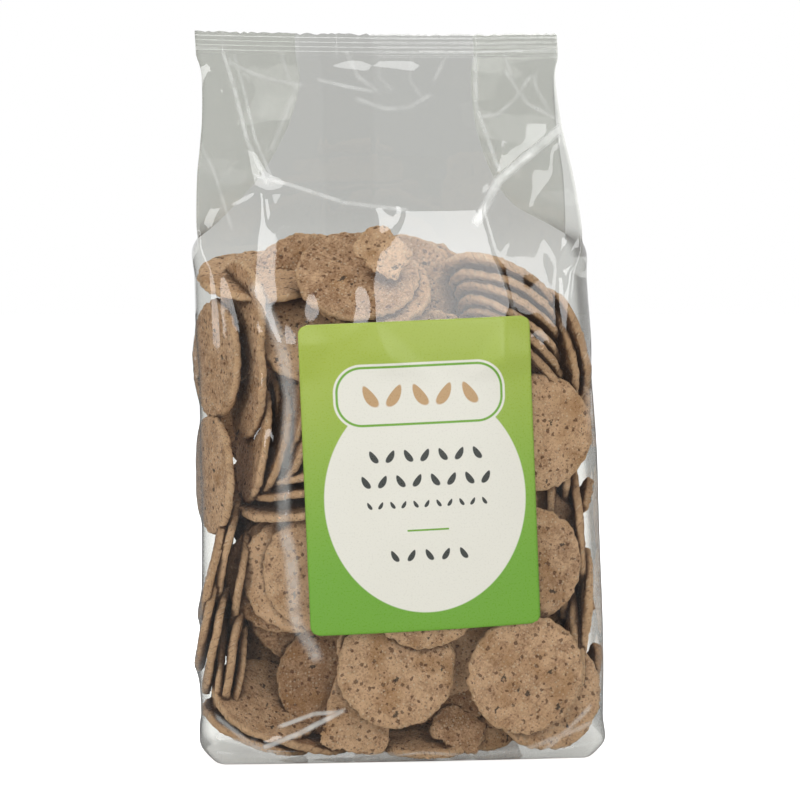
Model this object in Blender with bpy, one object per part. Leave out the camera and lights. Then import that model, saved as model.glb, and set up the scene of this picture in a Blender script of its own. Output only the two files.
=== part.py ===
"""A standing gusseted bag of clear film, filled with round sesame crackers, with a printed label.

The sealed bag and what it holds are one solid: the film's own outline, with the crackers that
press against the film standing out of a slightly lower core. The label is a thin curved sheet.
Metres, +Z up, front towards -Y, origin at the middle of the base.
"""

import math
import random

import bmesh
import bpy
from mathutils import Matrix, Vector

MM = 0.001

# Driving dimensions of the bag
BAG_HEIGHT = 282 * MM
SEAL_HEIGHT = 9 * MM
SEAL_RIB_DEPTH = 0.35 * MM
SEAL_RIBS = 5
BODY_HEIGHT = 200 * MM  # the crackers reach this high
BASE_ROUND = 7 * MM  # how far up the rounding of the base reaches
TOP_LEAN = 9.3 * MM  # how far the seal lies to the left of the base

# Driving dimensions of the crackers
CRACKER_RADIUS = 23 * MM
CRACKER_THICKNESS = 3.2 * MM
CRACKER_SIDES = 18
CORE_DROP = 4.5 * MM  # how far the core lies inside the film between the crackers
SIDE_DROP = 6.5 * MM  # the same on the side panels, which are rounder
FILM_CLEARANCE = 0.1 * MM  # from the film to the nearest point of a cracker
DROP_EDGE = 9 * MM  # over this width the core rises back to the film

# Driving dimensions of the label
LABEL_WIDTH = 88.5 * MM
LABEL_HEIGHT = 118.2 * MM
LABEL_THICKNESS = 0.3 * MM
LABEL_GAP = 0.3 * MM
LABEL_CORNER = 3.5 * MM
LABEL_CENTRE = (4.6 * MM, 112.0 * MM)
LABEL_TURN = math.radians(2.3)  # anticlockwise, seen from the front
LABEL_COLUMNS = 12
LABEL_ROWS = 14
LABEL_ROUND_ROWS = 3

# Sections of the film from the base to the seal, in millimetres:
# height, half width between the creases, half depth at the creases, how far the front and
# back panels bulge past the creases, how far the side panels bulge out (or, below 0, fold in)
SECTIONS = (
    (0, 70.0, 26.0, 1.0, 5.0),
    (8, 73.0, 28.0, 4.5, 7.0),
    (25, 72.0, 28.0, 7.5, 9.0),
    (60, 68.0, 27.5, 8.5, 12.0),
    (106, 66.5, 27.0, 8.5, 12.8),
    (163, 66.5, 26.5, 8.0, 12.0),
    (187, 68.5, 25.5, 8.0, 8.5),
    (207, 73.0, 20.5, 9.5, 1.0),
    (227, 72.5, 12.5, 9.0, -8.0),
    (249, 69.5, 6.0, 5.5, -10.0),
    (266, 69.5, 1.6, 1.8, -4.0),
    (273, 70.5, 0.5, 0.0, 0.0),
    (282, 70.5, 0.5, 0.0, 0.0),
)

PANEL_ROUNDNESS = 2.2  # the power of the bulge's curve across a front or back panel
SIDE_ROUNDNESS = 3.0
FRONT_STEPS = 18
SIDE_STEPS = 12
BODY_ROW = 12 * MM
TOP_ROW = 6.5 * MM
ROUND_ROWS = 4

# Folds of the empty film above the crackers, on the front panel:
# start (x, z), end (x, z), height and half width, in millimetres
FRONT_FOLDS = (
    ((-68, 271), (-53, 224), 2.0, 9),
    ((-53, 224), (-50, 190), 2.4, 9),
    ((27, 272), (36, 226), 1.8, 9),
    ((36, 226), (30, 196), 2.2, 9),
    ((53, 242), (30, 213), 2.2, 8),
    ((-48, 254), (-10, 260), 1.6, 8),
)
BACK_FOLDS = (
    ((-60, 270), (-44, 206), 2.0, 9),
    ((48, 270), (40, 202), 2.2, 9),
    ((-20, 256), (24, 244), 1.6, 9),
)
FIN_HALF_WIDTH = 10 * MM  # the lengthwise seal, which lies flat on the back panel
FIN_DEPTH = 0.7 * MM
FIN_PLACE = -12 * MM

# Crackers that show through the front: x, z, how far behind the film, turned to the right,
# leaning back (millimetres and degrees)
FRONT_CRACKERS = (
    (44, 33, 0.0, 2, 2),
    (23, 30, 0.8, -6, 3),
    (2, 29, 0.4, 5, 8),
    (-21, 30, 0.0, -3, -4),
    (-44, 42, 0.3, -4, 6),
    (-46, 30, 0.0, 4, -24),
    (-46, 21, 0.0, 0, 72),
    (-50, 74, 0.2, -9, 1),
    (-43, 92, 0.5, 2, 16),
    (-49, 112, 0.0, -8, 62),
    (-52, 132, 0.0, 68, 0),
    (-43, 142, 0.0, 76, 4),
    (-56, 160, 0.0, 60, 0),
    (-46, 177, 0.0, -10, 10),
    (-20, 180, 0.0, 0, 5),
    (7, 179, 1.2, 4, -3),
    (29, 176, 0.0, 34, 32),
    (41, 170, 0.0, 44, 22),
    (53, 158, 0.0, 52, 8),
    (51, 128, 0.0, 10, -2),
    (51, 94, 0.0, 14, 10),
    (49, 64, 0.4, 6, -8),
)
# Crackers on the sides and back stand in staggered rows
SIDE_ROWS = 6
SIDE_FIRST = 29 * MM
SIDE_PITCH = 29 * MM
BACK_ROWS = 7
BACK_FIRST = 29 * MM
BACK_PITCH = 25 * MM
BACK_SPREAD = 40 * MM
MOST_TURN = 20  # degrees that a side or back cracker may turn or lean
SEED = 7


def between(height, column):
    """A section value at this height, on a smooth curve through SECTIONS."""
    heights = [row[0] * MM for row in SECTIONS]
    values = [row[column] * MM for row in SECTIONS]
    if height <= heights[0]:
        return values[0]
    for i in range(len(heights) - 1):
        if height <= heights[i + 1]:
            break
    span = heights[i + 1] - heights[i]
    t = min(1.0, (height - heights[i]) / span)
    rise = (values[i + 1] - values[i]) / span

    def slope(k):
        if k <= 0 or k >= len(heights) - 1:
            return rise
        before = (values[k] - values[k - 1]) / (heights[k] - heights[k - 1])
        after = (values[k + 1] - values[k]) / (heights[k + 1] - heights[k])
        if before * after <= 0:
            return 0.0
        return 2 * before * after / (before + after)

    a, b = slope(i) * span, slope(i + 1) * span
    t2, t3 = t * t, t * t * t
    return (
        values[i] * (2 * t3 - 3 * t2 + 1)
        + a * (t3 - 2 * t2 + t)
        + values[i + 1] * (3 * t2 - 2 * t3)
        + b * (t3 - t2)
    )


def lean(height):
    """Where the bag's middle line lies at this height."""
    return -TOP_LEAN * (height / BAG_HEIGHT) ** 1.6


def smooth(t):
    t = max(0.0, min(1.0, t))
    return t * t * (3 - 2 * t)


def base_inset(height):
    """The base's rounding: how far the section is drawn in, as a share of BASE_ROUND."""
    if height >= BASE_ROUND:
        return 0.0
    up = height / BASE_ROUND
    return 1 - math.sqrt(max(0.0, 1 - (1 - up) ** 2))


def fold(x, height, folds):
    """Height of the folds of the empty film at a place on a panel."""
    total = 0.0
    for (ax, az), (bx, bz), rise, reach in folds:
        a = Vector((ax * MM, az * MM))
        b = Vector((bx * MM, bz * MM))
        along = b - a
        share = (Vector((x, height)) - a).dot(along) / along.length_squared
        nearest = a + along * max(0.0, min(1.0, share))
        off = (Vector((x, height)) - nearest).length / (reach * MM)
        total = max(total, rise * MM * max(0.0, 1 - off))
    return total


def panel(u, height, back):
    """A point of the front or back panel, u from -1 at the left crease to 1 at the right one."""
    half_width = between(height, 1)
    half_depth = between(height, 2)
    x = lean(height) + u * half_width
    depth = half_depth + between(height, 3) * (1 - abs(u) ** PANEL_ROUNDNESS)
    depth -= base_inset(height) * 0.45 * BASE_ROUND
    crease = smooth((1 - abs(u)) / 0.12)
    depth += crease * fold(x, height, BACK_FOLDS if back else FRONT_FOLDS)
    if back:
        off = abs(x - lean(height) - FIN_PLACE) / FIN_HALF_WIDTH
        fin = smooth(5 * (1.1 - off)) * smooth((height - BASE_ROUND) / BASE_ROUND)
        depth += FIN_DEPTH * fin * smooth((BAG_HEIGHT - SEAL_HEIGHT - height) / BASE_ROUND)
    if height > BAG_HEIGHT - SEAL_HEIGHT:
        ribs = (height - BAG_HEIGHT + SEAL_HEIGHT) / SEAL_HEIGHT * SEAL_RIBS
        depth += SEAL_RIB_DEPTH * (0.5 - 0.5 * math.cos(2 * math.pi * ribs)) * crease
    return Vector((x, depth if back else -depth, height))


def side(t, height, right):
    """A point of a side panel, t from -1 at the front crease to 1 at the back one."""
    half_width = between(height, 1)
    half_depth = between(height, 2) - base_inset(height) * 0.45 * BASE_ROUND
    bulge = between(height, 4)
    if bulge > 0:
        out = bulge * (1 - abs(t) ** SIDE_ROUNDNESS)
    else:
        out = bulge * (1 - abs(t)) ** 1.3
    half = half_width + out - base_inset(height) * 0.3 * BASE_ROUND * (1 - t * t)
    x = lean(height) + (half if right else -half)
    return Vector((x, t * half_depth, height))


def ring(height, drop):
    """One section of the film, front first, going round; drop(point, outward) lowers the core."""
    points = []
    for i in range(FRONT_STEPS):
        u = -1 + 2 * i / FRONT_STEPS
        points.append((panel(u, height, False), Vector((0, -1, 0)), abs(u)))
    for i in range(SIDE_STEPS):
        t = -1 + 2 * i / SIDE_STEPS
        points.append((side(t, height, True), Vector((1, 0, 0)), abs(t)))
    for i in range(FRONT_STEPS):
        u = 1 - 2 * i / FRONT_STEPS
        points.append((panel(u, height, True), Vector((0, 1, 0)), abs(u)))
    for i in range(SIDE_STEPS):
        t = 1 - 2 * i / SIDE_STEPS
        points.append((side(t, height, False), Vector((-1, 0, 0)), abs(t)))
    return [point - outward * drop(point, outward, edge) for point, outward, edge in points]


def label_distance(x, height):
    """How far a place on the front lies outside the label's outline; below 0 is inside."""
    across = Vector((x - LABEL_CENTRE[0], height - LABEL_CENTRE[1]))
    across.rotate(Matrix.Rotation(-LABEL_TURN, 2))
    return max(abs(across.x) - LABEL_WIDTH / 2, abs(across.y) - LABEL_HEIGHT / 2)


def core_drop(point, outward, edge):
    """How far the core lies inside the film: nothing at creases, base, top and label."""
    share = smooth((1 - edge) / 0.16)
    share *= smooth((point.z - BASE_ROUND) / DROP_EDGE)
    share *= smooth((BODY_HEIGHT - point.z) / DROP_EDGE)
    if outward.y < 0:
        share *= smooth((label_distance(point.x, point.z) - 2 * MM) / DROP_EDGE)
    return (CORE_DROP if outward.y else SIDE_DROP) * share


def row_heights():
    """The heights of the bag's sections: close at the base's rounding and in the seal."""
    rows = [BASE_ROUND * (1 - math.cos(math.pi / 2 * i / ROUND_ROWS)) for i in range(ROUND_ROWS + 1)]
    body_rows = round((BODY_HEIGHT - BASE_ROUND) / BODY_ROW)
    rows += [BASE_ROUND + (BODY_HEIGHT - BASE_ROUND) * (i + 1) / body_rows for i in range(body_rows)]
    seal_start = BAG_HEIGHT - SEAL_HEIGHT
    top_rows = round((seal_start - BODY_HEIGHT) / TOP_ROW)
    rows += [BODY_HEIGHT + (seal_start - BODY_HEIGHT) * (i + 1) / top_rows for i in range(top_rows)]
    rib_rows = 2 * SEAL_RIBS
    rows += [seal_start + SEAL_HEIGHT * (i + 1) / rib_rows for i in range(rib_rows)]
    return rows


def closed_mesh(name, rings):
    """A solid skinned over rings of points, with a flat face at each end."""
    mesh = bmesh.new()
    loops = [[mesh.verts.new(point) for point in points] for points in rings]
    count = len(loops[0])
    for lower, upper in zip(loops, loops[1:]):
        for i in range(count):
            k = (i + 1) % count
            mesh.faces.new((lower[i], lower[k], upper[k], upper[i]))
    mesh.faces.new(list(reversed(loops[0])))
    mesh.faces.new(loops[-1])
    bmesh.ops.recalc_face_normals(mesh, faces=mesh.faces)
    data = bpy.data.meshes.new(name)
    mesh.to_mesh(data)
    mesh.free()
    return data


def add_object(name, data, collection):
    obj = bpy.data.objects.new(name, data)
    collection.objects.link(obj)
    return obj


def cracker(name, place, facing, spin, collection):
    """A round cracker with a bevelled rim, its flat faces square to facing."""
    mesh = bmesh.new()
    matrix = Matrix.Translation(place) @ facing.to_track_quat("Z", "Y").to_matrix().to_4x4()
    matrix = matrix @ Matrix.Rotation(spin, 4, "Z")
    bmesh.ops.create_cone(
        mesh,
        cap_ends=True,
        segments=CRACKER_SIDES,
        radius1=CRACKER_RADIUS,
        radius2=CRACKER_RADIUS,
        depth=CRACKER_THICKNESS,
        matrix=matrix,
    )
    data = bpy.data.meshes.new(name)
    mesh.to_mesh(data)
    mesh.free()
    return add_object(name, data, collection)


def film_at(height, across, outward):
    """The film's point on one side at this height: across is x on front and back, y on a side."""
    if outward.y:
        u = (across - lean(height)) / between(height, 1)
        return panel(max(-1.0, min(1.0, u)), height, outward.y > 0)
    t = across / between(height, 2)
    return side(max(-1.0, min(1.0, t)), height, outward.x > 0)


def facing_of(height, across, outward):
    """The film's own direction there, read from two neighbouring points each way."""
    step = 6 * MM
    level = film_at(height, across + step, outward) - film_at(height, across - step, outward)
    upright = film_at(height + step, across, outward) - film_at(height - step, across, outward)
    normal = level.cross(upright).normalized()
    return normal if normal.dot(outward) > 0 else -normal


def room_at(point, outward):
    """How far the film lies from the middle along outward, level with this point."""
    half_width = between(point.z, 1)
    half_depth = between(point.z, 2)
    across = abs(point.x - lean(point.z))
    if outward.y:
        if across <= half_width:
            u = across / half_width
            return half_depth + between(point.z, 3) * (1 - u**PANEL_ROUNDNESS)
        past = min(1.0, (across - half_width) / max(between(point.z, 4), MM))
        return half_depth * (1 - past) ** (1 / SIDE_ROUNDNESS)
    if abs(point.y) <= half_depth:
        return half_width + between(point.z, 4) * (1 - (abs(point.y) / half_depth) ** SIDE_ROUNDNESS)
    past = min(1.0, (abs(point.y) - half_depth) / max(between(point.z, 3), MM))
    return half_width * (1 - past) ** (1 / PANEL_ROUNDNESS)


def sink_of(place, facing, outward):
    """How far a cracker at this place has to move in, for its whole rim to be inside the film."""
    across = facing.orthogonal().normalized()
    most = -1.0
    for i in range(CRACKER_SIDES):
        spoke = Matrix.Rotation(2 * math.pi * i / CRACKER_SIDES, 3, facing) @ across
        for share in (0.5, 1.0):
            point = place + spoke * CRACKER_RADIUS * share + facing * CRACKER_THICKNESS / 2
            reach = point.dot(outward)
            if outward.x:
                reach -= lean(point.z) * outward.x
            most = max(most, reach - room_at(point, outward))
    return most + FILM_CLEARANCE


def place_cracker(name, height, across, outward, behind, turn, back_lean, spin, collection):
    """A cracker that presses against the film, turned and leaning by its own small angles."""
    facing = facing_of(height, across, outward)
    sideways = Vector((0, 0, 1)).cross(facing).normalized()
    facing.rotate(Matrix.Rotation(math.radians(turn), 3, "Z"))
    facing.rotate(Matrix.Rotation(math.radians(-back_lean), 3, sideways))
    place = film_at(height, across, outward)
    place -= outward * (sink_of(place, facing, outward) + behind)
    cracker(name, place, facing, spin, collection)


def front_crackers(collection, draw):
    for number, (x, z, behind, turn, back_lean) in enumerate(FRONT_CRACKERS, 1):
        place_cracker(
            f"front_{number}", z * MM, x * MM, Vector((0, -1, 0)), behind * MM, turn, back_lean,
            draw.uniform(0, math.pi), collection,
        )


def back_crackers(collection, draw):
    """Rows of three and two by turns, each cracker a little turned."""
    for row in range(BACK_ROWS):
        count = 3 - row % 2
        for i in range(count):
            height = BACK_FIRST + row * BACK_PITCH + draw.uniform(-3, 3) * MM
            across = (i - (count - 1) / 2) * BACK_SPREAD + draw.uniform(-3, 3) * MM + lean(height)
            place_cracker(
                f"back_{row}_{i}", height, across, Vector((0, 1, 0)), draw.uniform(0, 1.2) * MM,
                draw.uniform(-MOST_TURN, MOST_TURN), draw.uniform(-MOST_TURN, MOST_TURN),
                draw.uniform(0, math.pi), collection,
            )


def side_crackers(collection, draw):
    for outward in (Vector((-1, 0, 0)), Vector((1, 0, 0))):
        for row in range(SIDE_ROWS):
            height = SIDE_FIRST + row * SIDE_PITCH + draw.uniform(-3, 3) * MM
            place_cracker(
                f"side_{outward.x:.0f}_{row}", height, draw.uniform(-3, 3) * MM, outward,
                draw.uniform(0.2, 1.0) * MM, draw.uniform(-MOST_TURN, MOST_TURN),
                draw.uniform(-MOST_TURN, MOST_TURN), draw.uniform(0, math.pi), collection,
            )


def keep_outer_shell(data):
    """Fills the hollows that fusing seals, and drops loose scraps: one closed shell is left."""
    mesh = bmesh.new()
    mesh.from_mesh(data)
    shells = []
    for first in mesh.faces:
        if first.tag:
            continue
        first.tag = True
        shell = [first]
        for face in shell:
            for edge in face.edges:
                for other in edge.link_faces:
                    if not other.tag:
                        other.tag = True
                        shell.append(other)
        shells.append(shell)
    shells.sort(key=lambda shell: sum(face.calc_area() for face in shell))
    for shell in shells[:-1]:
        bmesh.ops.delete(mesh, geom=shell, context="FACES")
    mesh.to_mesh(data)
    mesh.free()


def join_crackers(core, crackers):
    """Fuses the crackers to the core with one Boolean union, then removes them."""
    union = core.modifiers.new("crackers", "BOOLEAN")
    union.operation = "UNION"
    union.operand_type = "COLLECTION"
    union.collection = crackers
    union.solver = "EXACT"
    graph = bpy.context.evaluated_depsgraph_get()
    joined = bpy.data.meshes.new_from_object(core.evaluated_get(graph))
    core.modifiers.clear()
    keep_outer_shell(joined)
    core.data = joined
    for obj in list(crackers.objects):
        bpy.data.objects.remove(obj)
    bpy.data.collections.remove(crackers)


def label_mesh():
    """The label: a sheet with round corners that follows the front panel at a small gap."""
    half_height = LABEL_HEIGHT / 2
    flat = half_height - LABEL_CORNER
    turns = [math.pi / 2 * i / LABEL_ROUND_ROWS for i in range(LABEL_ROUND_ROWS)]
    levels = [-half_height + LABEL_CORNER * (1 - math.cos(turn)) for turn in turns]
    levels += [-flat + 2 * flat * i / LABEL_ROWS for i in range(LABEL_ROWS + 1)]
    levels += [-level for level in reversed(levels[:LABEL_ROUND_ROWS])]
    mesh = bmesh.new()
    sheets = []
    for out in (LABEL_GAP + LABEL_THICKNESS, LABEL_GAP):
        sheet = []
        for level in levels:
            past = max(0.0, abs(level) - flat)
            half = LABEL_WIDTH / 2 - LABEL_CORNER
            half += math.sqrt(max(0.0, LABEL_CORNER**2 - past**2))
            line = []
            for i in range(LABEL_COLUMNS + 1):
                place = Vector((-half + 2 * half * i / LABEL_COLUMNS, level))
                place.rotate(Matrix.Rotation(LABEL_TURN, 2))
                x, z = place.x + LABEL_CENTRE[0], place.y + LABEL_CENTRE[1]
                film = film_at(z, x, Vector((0, -1, 0)))
                line.append(mesh.verts.new((x, film.y - out, z)))
            sheet.append(line)
        sheets.append(sheet)
    front, back = sheets
    for i in range(len(levels) - 1):
        for k in range(LABEL_COLUMNS):
            mesh.faces.new((front[i][k], front[i][k + 1], front[i + 1][k + 1], front[i + 1][k]))
            mesh.faces.new((back[i][k], back[i + 1][k], back[i + 1][k + 1], back[i][k + 1]))
    rim_front, rim_back = outline(front), outline(back)
    for i in range(len(rim_front)):
        k = (i + 1) % len(rim_front)
        mesh.faces.new((rim_front[i], rim_back[i], rim_back[k], rim_front[k]))
    bmesh.ops.recalc_face_normals(mesh, faces=mesh.faces)
    data = bpy.data.meshes.new("label")
    mesh.to_mesh(data)
    mesh.free()
    return data


def outline(sheet):
    """The vertices round the edge of a grid, in order."""
    right = [line[-1] for line in sheet[1:]]
    top = list(reversed(sheet[-1][:-1]))
    left = [line[0] for line in reversed(sheet[1:-1])]
    return sheet[0] + right + top + left


def material(name, colour, roughness, metallic=0.0):
    made = bpy.data.materials.new(name)
    made.use_nodes = True
    shader = made.node_tree.nodes["Principled BSDF"]
    shader.inputs["Base Color"].default_value = (*colour, 1)
    shader.inputs["Roughness"].default_value = roughness
    shader.inputs["Metallic"].default_value = metallic
    return made


def finish_object(obj, surface):
    obj.data.materials.clear()
    obj.data.materials.append(surface)
    obj.data.shade_smooth()
    obj.data.set_sharp_from_angle(angle=math.radians(28))


def centre_on_base(objects):
    """Moves the origin to the middle of the whole bag's outline on the plane it stands on."""
    corners = [vertex.co for obj in objects for vertex in obj.data.vertices]
    low = [min(co[i] for co in corners) for i in range(3)]
    high = [max(co[i] for co in corners) for i in range(3)]
    shift = Vector((-(low[0] + high[0]) / 2, -(low[1] + high[1]) / 2, -low[2]))
    for obj in objects:
        obj.data.transform(Matrix.Translation(shift))
    return shift


def main():
    for obj in list(bpy.data.objects):
        bpy.data.objects.remove(obj)
    scene = bpy.context.scene.collection
    draw = random.Random(SEED)
    rings = [ring(height, core_drop) for height in row_heights()]
    bag = add_object("bag_of_crackers", closed_mesh("bag_of_crackers", rings), scene)
    crackers = bpy.data.collections.new("crackers")
    scene.children.link(crackers)
    front_crackers(crackers, draw)
    back_crackers(crackers, draw)
    side_crackers(crackers, draw)
    join_crackers(bag, crackers)
    label = add_object("label", label_mesh(), scene)
    centre_on_base([bag, label])
    finish_object(bag, material("crackers_in_film", (0.36, 0.235, 0.145), 0.45))
    finish_object(label, material("printed_label", (0.27, 0.42, 0.05), 0.35))


main()
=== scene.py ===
import itertools
import math
import random

import bpy
import numpy as np
from mathutils import Matrix, Vector, geometry, noise
from mathutils.bvhtree import BVHTree


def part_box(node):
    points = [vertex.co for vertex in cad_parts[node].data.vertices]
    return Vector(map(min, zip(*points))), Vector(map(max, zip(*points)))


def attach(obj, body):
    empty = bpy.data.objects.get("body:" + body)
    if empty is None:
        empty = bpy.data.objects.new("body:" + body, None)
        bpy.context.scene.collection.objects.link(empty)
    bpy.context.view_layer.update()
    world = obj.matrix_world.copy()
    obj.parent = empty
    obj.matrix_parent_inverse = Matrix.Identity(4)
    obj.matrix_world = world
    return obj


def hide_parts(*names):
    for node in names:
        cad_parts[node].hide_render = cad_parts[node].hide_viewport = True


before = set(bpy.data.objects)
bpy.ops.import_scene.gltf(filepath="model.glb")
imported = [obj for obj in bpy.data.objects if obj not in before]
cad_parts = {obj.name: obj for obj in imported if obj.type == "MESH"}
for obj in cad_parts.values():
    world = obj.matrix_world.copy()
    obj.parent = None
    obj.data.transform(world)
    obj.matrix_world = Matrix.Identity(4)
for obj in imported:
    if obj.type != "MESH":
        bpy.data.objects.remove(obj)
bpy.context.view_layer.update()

# A standing bag of clear film, full of round sesame crackers, with a printed label on its front.
# Lengths in the dictionaries are in millimetres and angles in degrees.

mm = 0.001
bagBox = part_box("bag_of_crackers")
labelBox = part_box("label")
bagHeight = (bagBox[1].z - bagBox[0].z) / mm


# Small helpers for curves and node trees

def smooth(t):
    t = np.clip(t, 0, 1)
    return t * t * (3 - 2 * t)


def addNode(tree, kind, inputs=None, **settings):
    made = tree.nodes.new(kind)
    for name, value in settings.items():
        setattr(made, name, value)
    for name, value in (inputs or {}).items():
        if isinstance(value, bpy.types.NodeSocket):
            tree.links.new(value, made.inputs[name])
        else:
            made.inputs[name].default_value = value
    return made


def doMath(tree, operation, *values):
    return addNode(tree, "ShaderNodeMath", dict(enumerate(values)), operation=operation).outputs[0]


def times(tree, first, second):
    return doMath(tree, "MULTIPLY", first, second)


def plus(tree, first, second):
    return doMath(tree, "ADD", first, second)


def minus(tree, first, second):
    return doMath(tree, "SUBTRACT", first, second)


def lengthOf(tree, across, up):
    return doMath(tree, "SQRT", plus(tree, times(tree, across, across), times(tree, up, up)))


def mixColour(tree, factor, first, second):
    return addNode(tree, "ShaderNodeMix", {0: factor, 6: first, 7: second}, data_type="RGBA").outputs[2]


def mapRange(tree, value, low, high, toLow=0.0, toHigh=1.0):
    inputs = {0: value, 1: low, 2: high, 3: toLow, 4: toHigh}
    return addNode(tree, "ShaderNodeMapRange", inputs, interpolation_type="SMOOTHSTEP").outputs[0]


def attribute(tree, name, output="Fac"):
    return addNode(tree, "ShaderNodeAttribute", attribute_name=name).outputs[output]


def noiseTexture(tree, inputs):
    return addNode(tree, "ShaderNodeTexNoise", inputs).outputs["Fac"]


def newMaterial(name):
    made = bpy.data.materials.new(name)
    made.use_nodes = True
    made.node_tree.nodes.clear()
    return made, made.node_tree


def addPiece(name, points, faces, surface):
    data = bpy.data.meshes.new(name)
    data.from_pydata(points.tolist(), [], faces)
    data.polygons.foreach_set("use_smooth", [True] * len(data.polygons))
    data.materials.append(surface)
    piece = bpy.data.objects.new(name, data)
    bpy.context.scene.collection.objects.link(piece)
    return piece


def setAttribute(piece, name, values):
    kind, field = ("FLOAT_VECTOR", "vector") if values.ndim == 2 else ("FLOAT", "value")
    made = piece.data.attributes.new(name, kind, "POINT")
    made.data.foreach_set(field, values.astype(np.float32).ravel())


def gridFaces(rows, columns, closed=True):
    # Quads over a grid of points, row by row, joined round at its end if it is closed.
    faces = []
    for r in range(rows - 1):
        low, high = r * columns, (r + 1) * columns
        for k in range(columns if closed else columns - 1):
            n = (k + 1) % columns
            faces.append((low + k, low + n, high + n, high + k))
    return faces


def rotated(across, up, degrees):
    turn = math.radians(degrees)
    return math.cos(turn) * across - math.sin(turn) * up, math.sin(turn) * across + math.cos(turn) * up


def circle(sides):
    turns = np.linspace(0, math.tau, sides, endpoint=False)
    return np.stack((np.cos(turns), np.sin(turns), 0 * turns), -1)


# The film: a tube of four panels, each a grid, shut by the seal at its top

film = {
    "frontColumns": 104,
    "sideColumns": 52,
    "rowStep": 1.6,
    "topLean": 9.3,
    "leanPower": 1.6,
    "baseRound": 7,
    "baseRows": 8,
    "baseInward": (0.45, 0.3),  # share of the base's rounding in depth, and sideways
    "panelRoundness": 2.2,
    "sideRoundness": 6.0,
    # height, half width between the creases, half depth there, bulge of the front and back,
    # bulge of the right side and of the left one, which fold in below 0
    "sections": (
        (0, 70.0, 26.0, 1.0, 5.0, 5.0),
        (8, 73.0, 28.0, 4.5, 7.0, 7.0),
        (25, 72.0, 28.0, 7.5, 9.0, 9.0),
        (60, 68.0, 27.5, 8.5, 13.2, 12.0),
        (106, 66.5, 27.0, 8.5, 14.2, 12.0),
        (163, 66.5, 26.5, 8.0, 11.8, 10.4),
        (187, 68.5, 25.5, 8.0, 8.3, 7.5),
        (200, 73.4, 22.6, 8.6, 1.5, 1.5),
        (207, 73.8, 20.5, 9.0, -9.0, -7.0),
        (216, 73.4, 17.0, 8.9, -24.0, -16.0),
        (227, 72.5, 12.5, 8.5, -30.0, -25.0),
        (237, 71.0, 9.2, 7.0, -32.0, -30.0),
        (249, 69.5, 6.0, 5.0, -33.0, -34.5),
        (264, 68.8, 1.9, 1.8, -33.0, -38.0),
        (268, 69.2, 1.2, 1.2, -33.0, -38.2),
        (273, 70.5, 0.3, 0.0, -33.0, -38.5),
        (282, 70.5, 0.3, 0.0, -33.0, -38.5),
    ),
    "foldedFrom": 203,   # above this height the creases are sharp
    "sealHeight": 9,
    "sealRibs": 5,
    "rowsPerRib": 6,
    "ribDepth": 0.28,
    "ribsTo": 0.93,             # share of the seal's height
    "sealSag": (0.8, 225, 55),  # how deep, from what height, blended in over this much
    "sealHalf": 71,
    "cutPitch": 4.2,
    "cutDepth": 0.9,
    "cutFrom": 0.86,
    "cutStart": -100,
    "cutWander": (1.3, 0.37),   # how far the teeth wander along the seal, and how fast
    "finPlace": -12,
    "finHalfWidth": 10,
    "finEdge": (12, 1.05),      # steepness of the fin's edges, and where they end
    "finDepth": 0.6,
    "finBlend": 9,
    "lowest": 0.05,
    "baseRings": (0.8, 0.5, 0.2),
    "baseLift": 0.15,
}
sealStart = bagHeight - film["sealHeight"]


def sectionValue(height, column):
    # A smooth curve through one column of the sections, with no overshoot.
    rows = np.array(film["sections"], float)
    heights, values = rows[:, 0], rows[:, column]
    span = np.diff(heights)
    rise = np.diff(values) / span
    before, after = rise[:-1], rise[1:]
    same = before * after > 0
    inner = np.where(same, 2 * before * after / np.where(same, before + after, 1), 0)
    slope = np.concatenate((rise[:1], inner, rise[-1:]))
    height = np.clip(height, heights[0], heights[-1])
    i = np.clip(np.searchsorted(heights, height) - 1, 0, len(span) - 1)
    t = (height - heights[i]) / span[i]
    a, b = slope[i] * span[i], slope[i + 1] * span[i]
    return (
        values[i] * (2 * t**3 - 3 * t**2 + 1)
        + a * (t**3 - 2 * t**2 + t)
        + values[i + 1] * (3 * t**2 - 2 * t**3)
        + b * (t**3 - t**2)
    )


def leanAt(height):
    return -film["topLean"] * (np.clip(height, 0, None) / bagHeight) ** film["leanPower"]


def baseInset(height):
    up = np.clip(height / film["baseRound"], 0, 1)
    return film["baseRound"] * (1 - np.sqrt(1 - (1 - up) ** 2))


def panelPoint(u, height, back):
    # The front or back panel: u runs from -1 at the left crease to 1 at the right one.
    x = leanAt(height) + u * sectionValue(height, 1)
    bulge = sectionValue(height, 3) * (1 - np.abs(u) ** film["panelRoundness"])
    depth = sectionValue(height, 2) + bulge - film["baseInward"][0] * baseInset(height)
    return np.stack((x, depth if back else -depth, height + 0 * u), -1)


def sidePoint(t, height, right):
    # A side panel: t runs from -1 at the front crease to 1 at the back one.
    bulge = sectionValue(height, 4 if right else 5)
    bow = np.where(bulge > 0, 1 - np.abs(t) ** film["sideRoundness"], 1 - np.abs(t))
    inDepth, sideways = film["baseInward"]
    half = sectionValue(height, 1) + bulge * bow - sideways * baseInset(height) * (1 - t * t)
    depth = sectionValue(height, 2) - inDepth * baseInset(height)
    return np.stack((leanAt(height) + (half if right else -half), t * depth, height + 0 * t), -1)


def filmRows():
    turns = np.linspace(0, math.pi / 2, film["baseRows"] + 1)[:-1]
    body = np.arange(film["baseRound"], sealStart, film["rowStep"])
    seal = np.linspace(sealStart, bagHeight, film["rowsPerRib"] * film["sealRibs"] + 1)
    return np.concatenate((film["baseRound"] * (1 - np.cos(turns)), body, seal))


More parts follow.
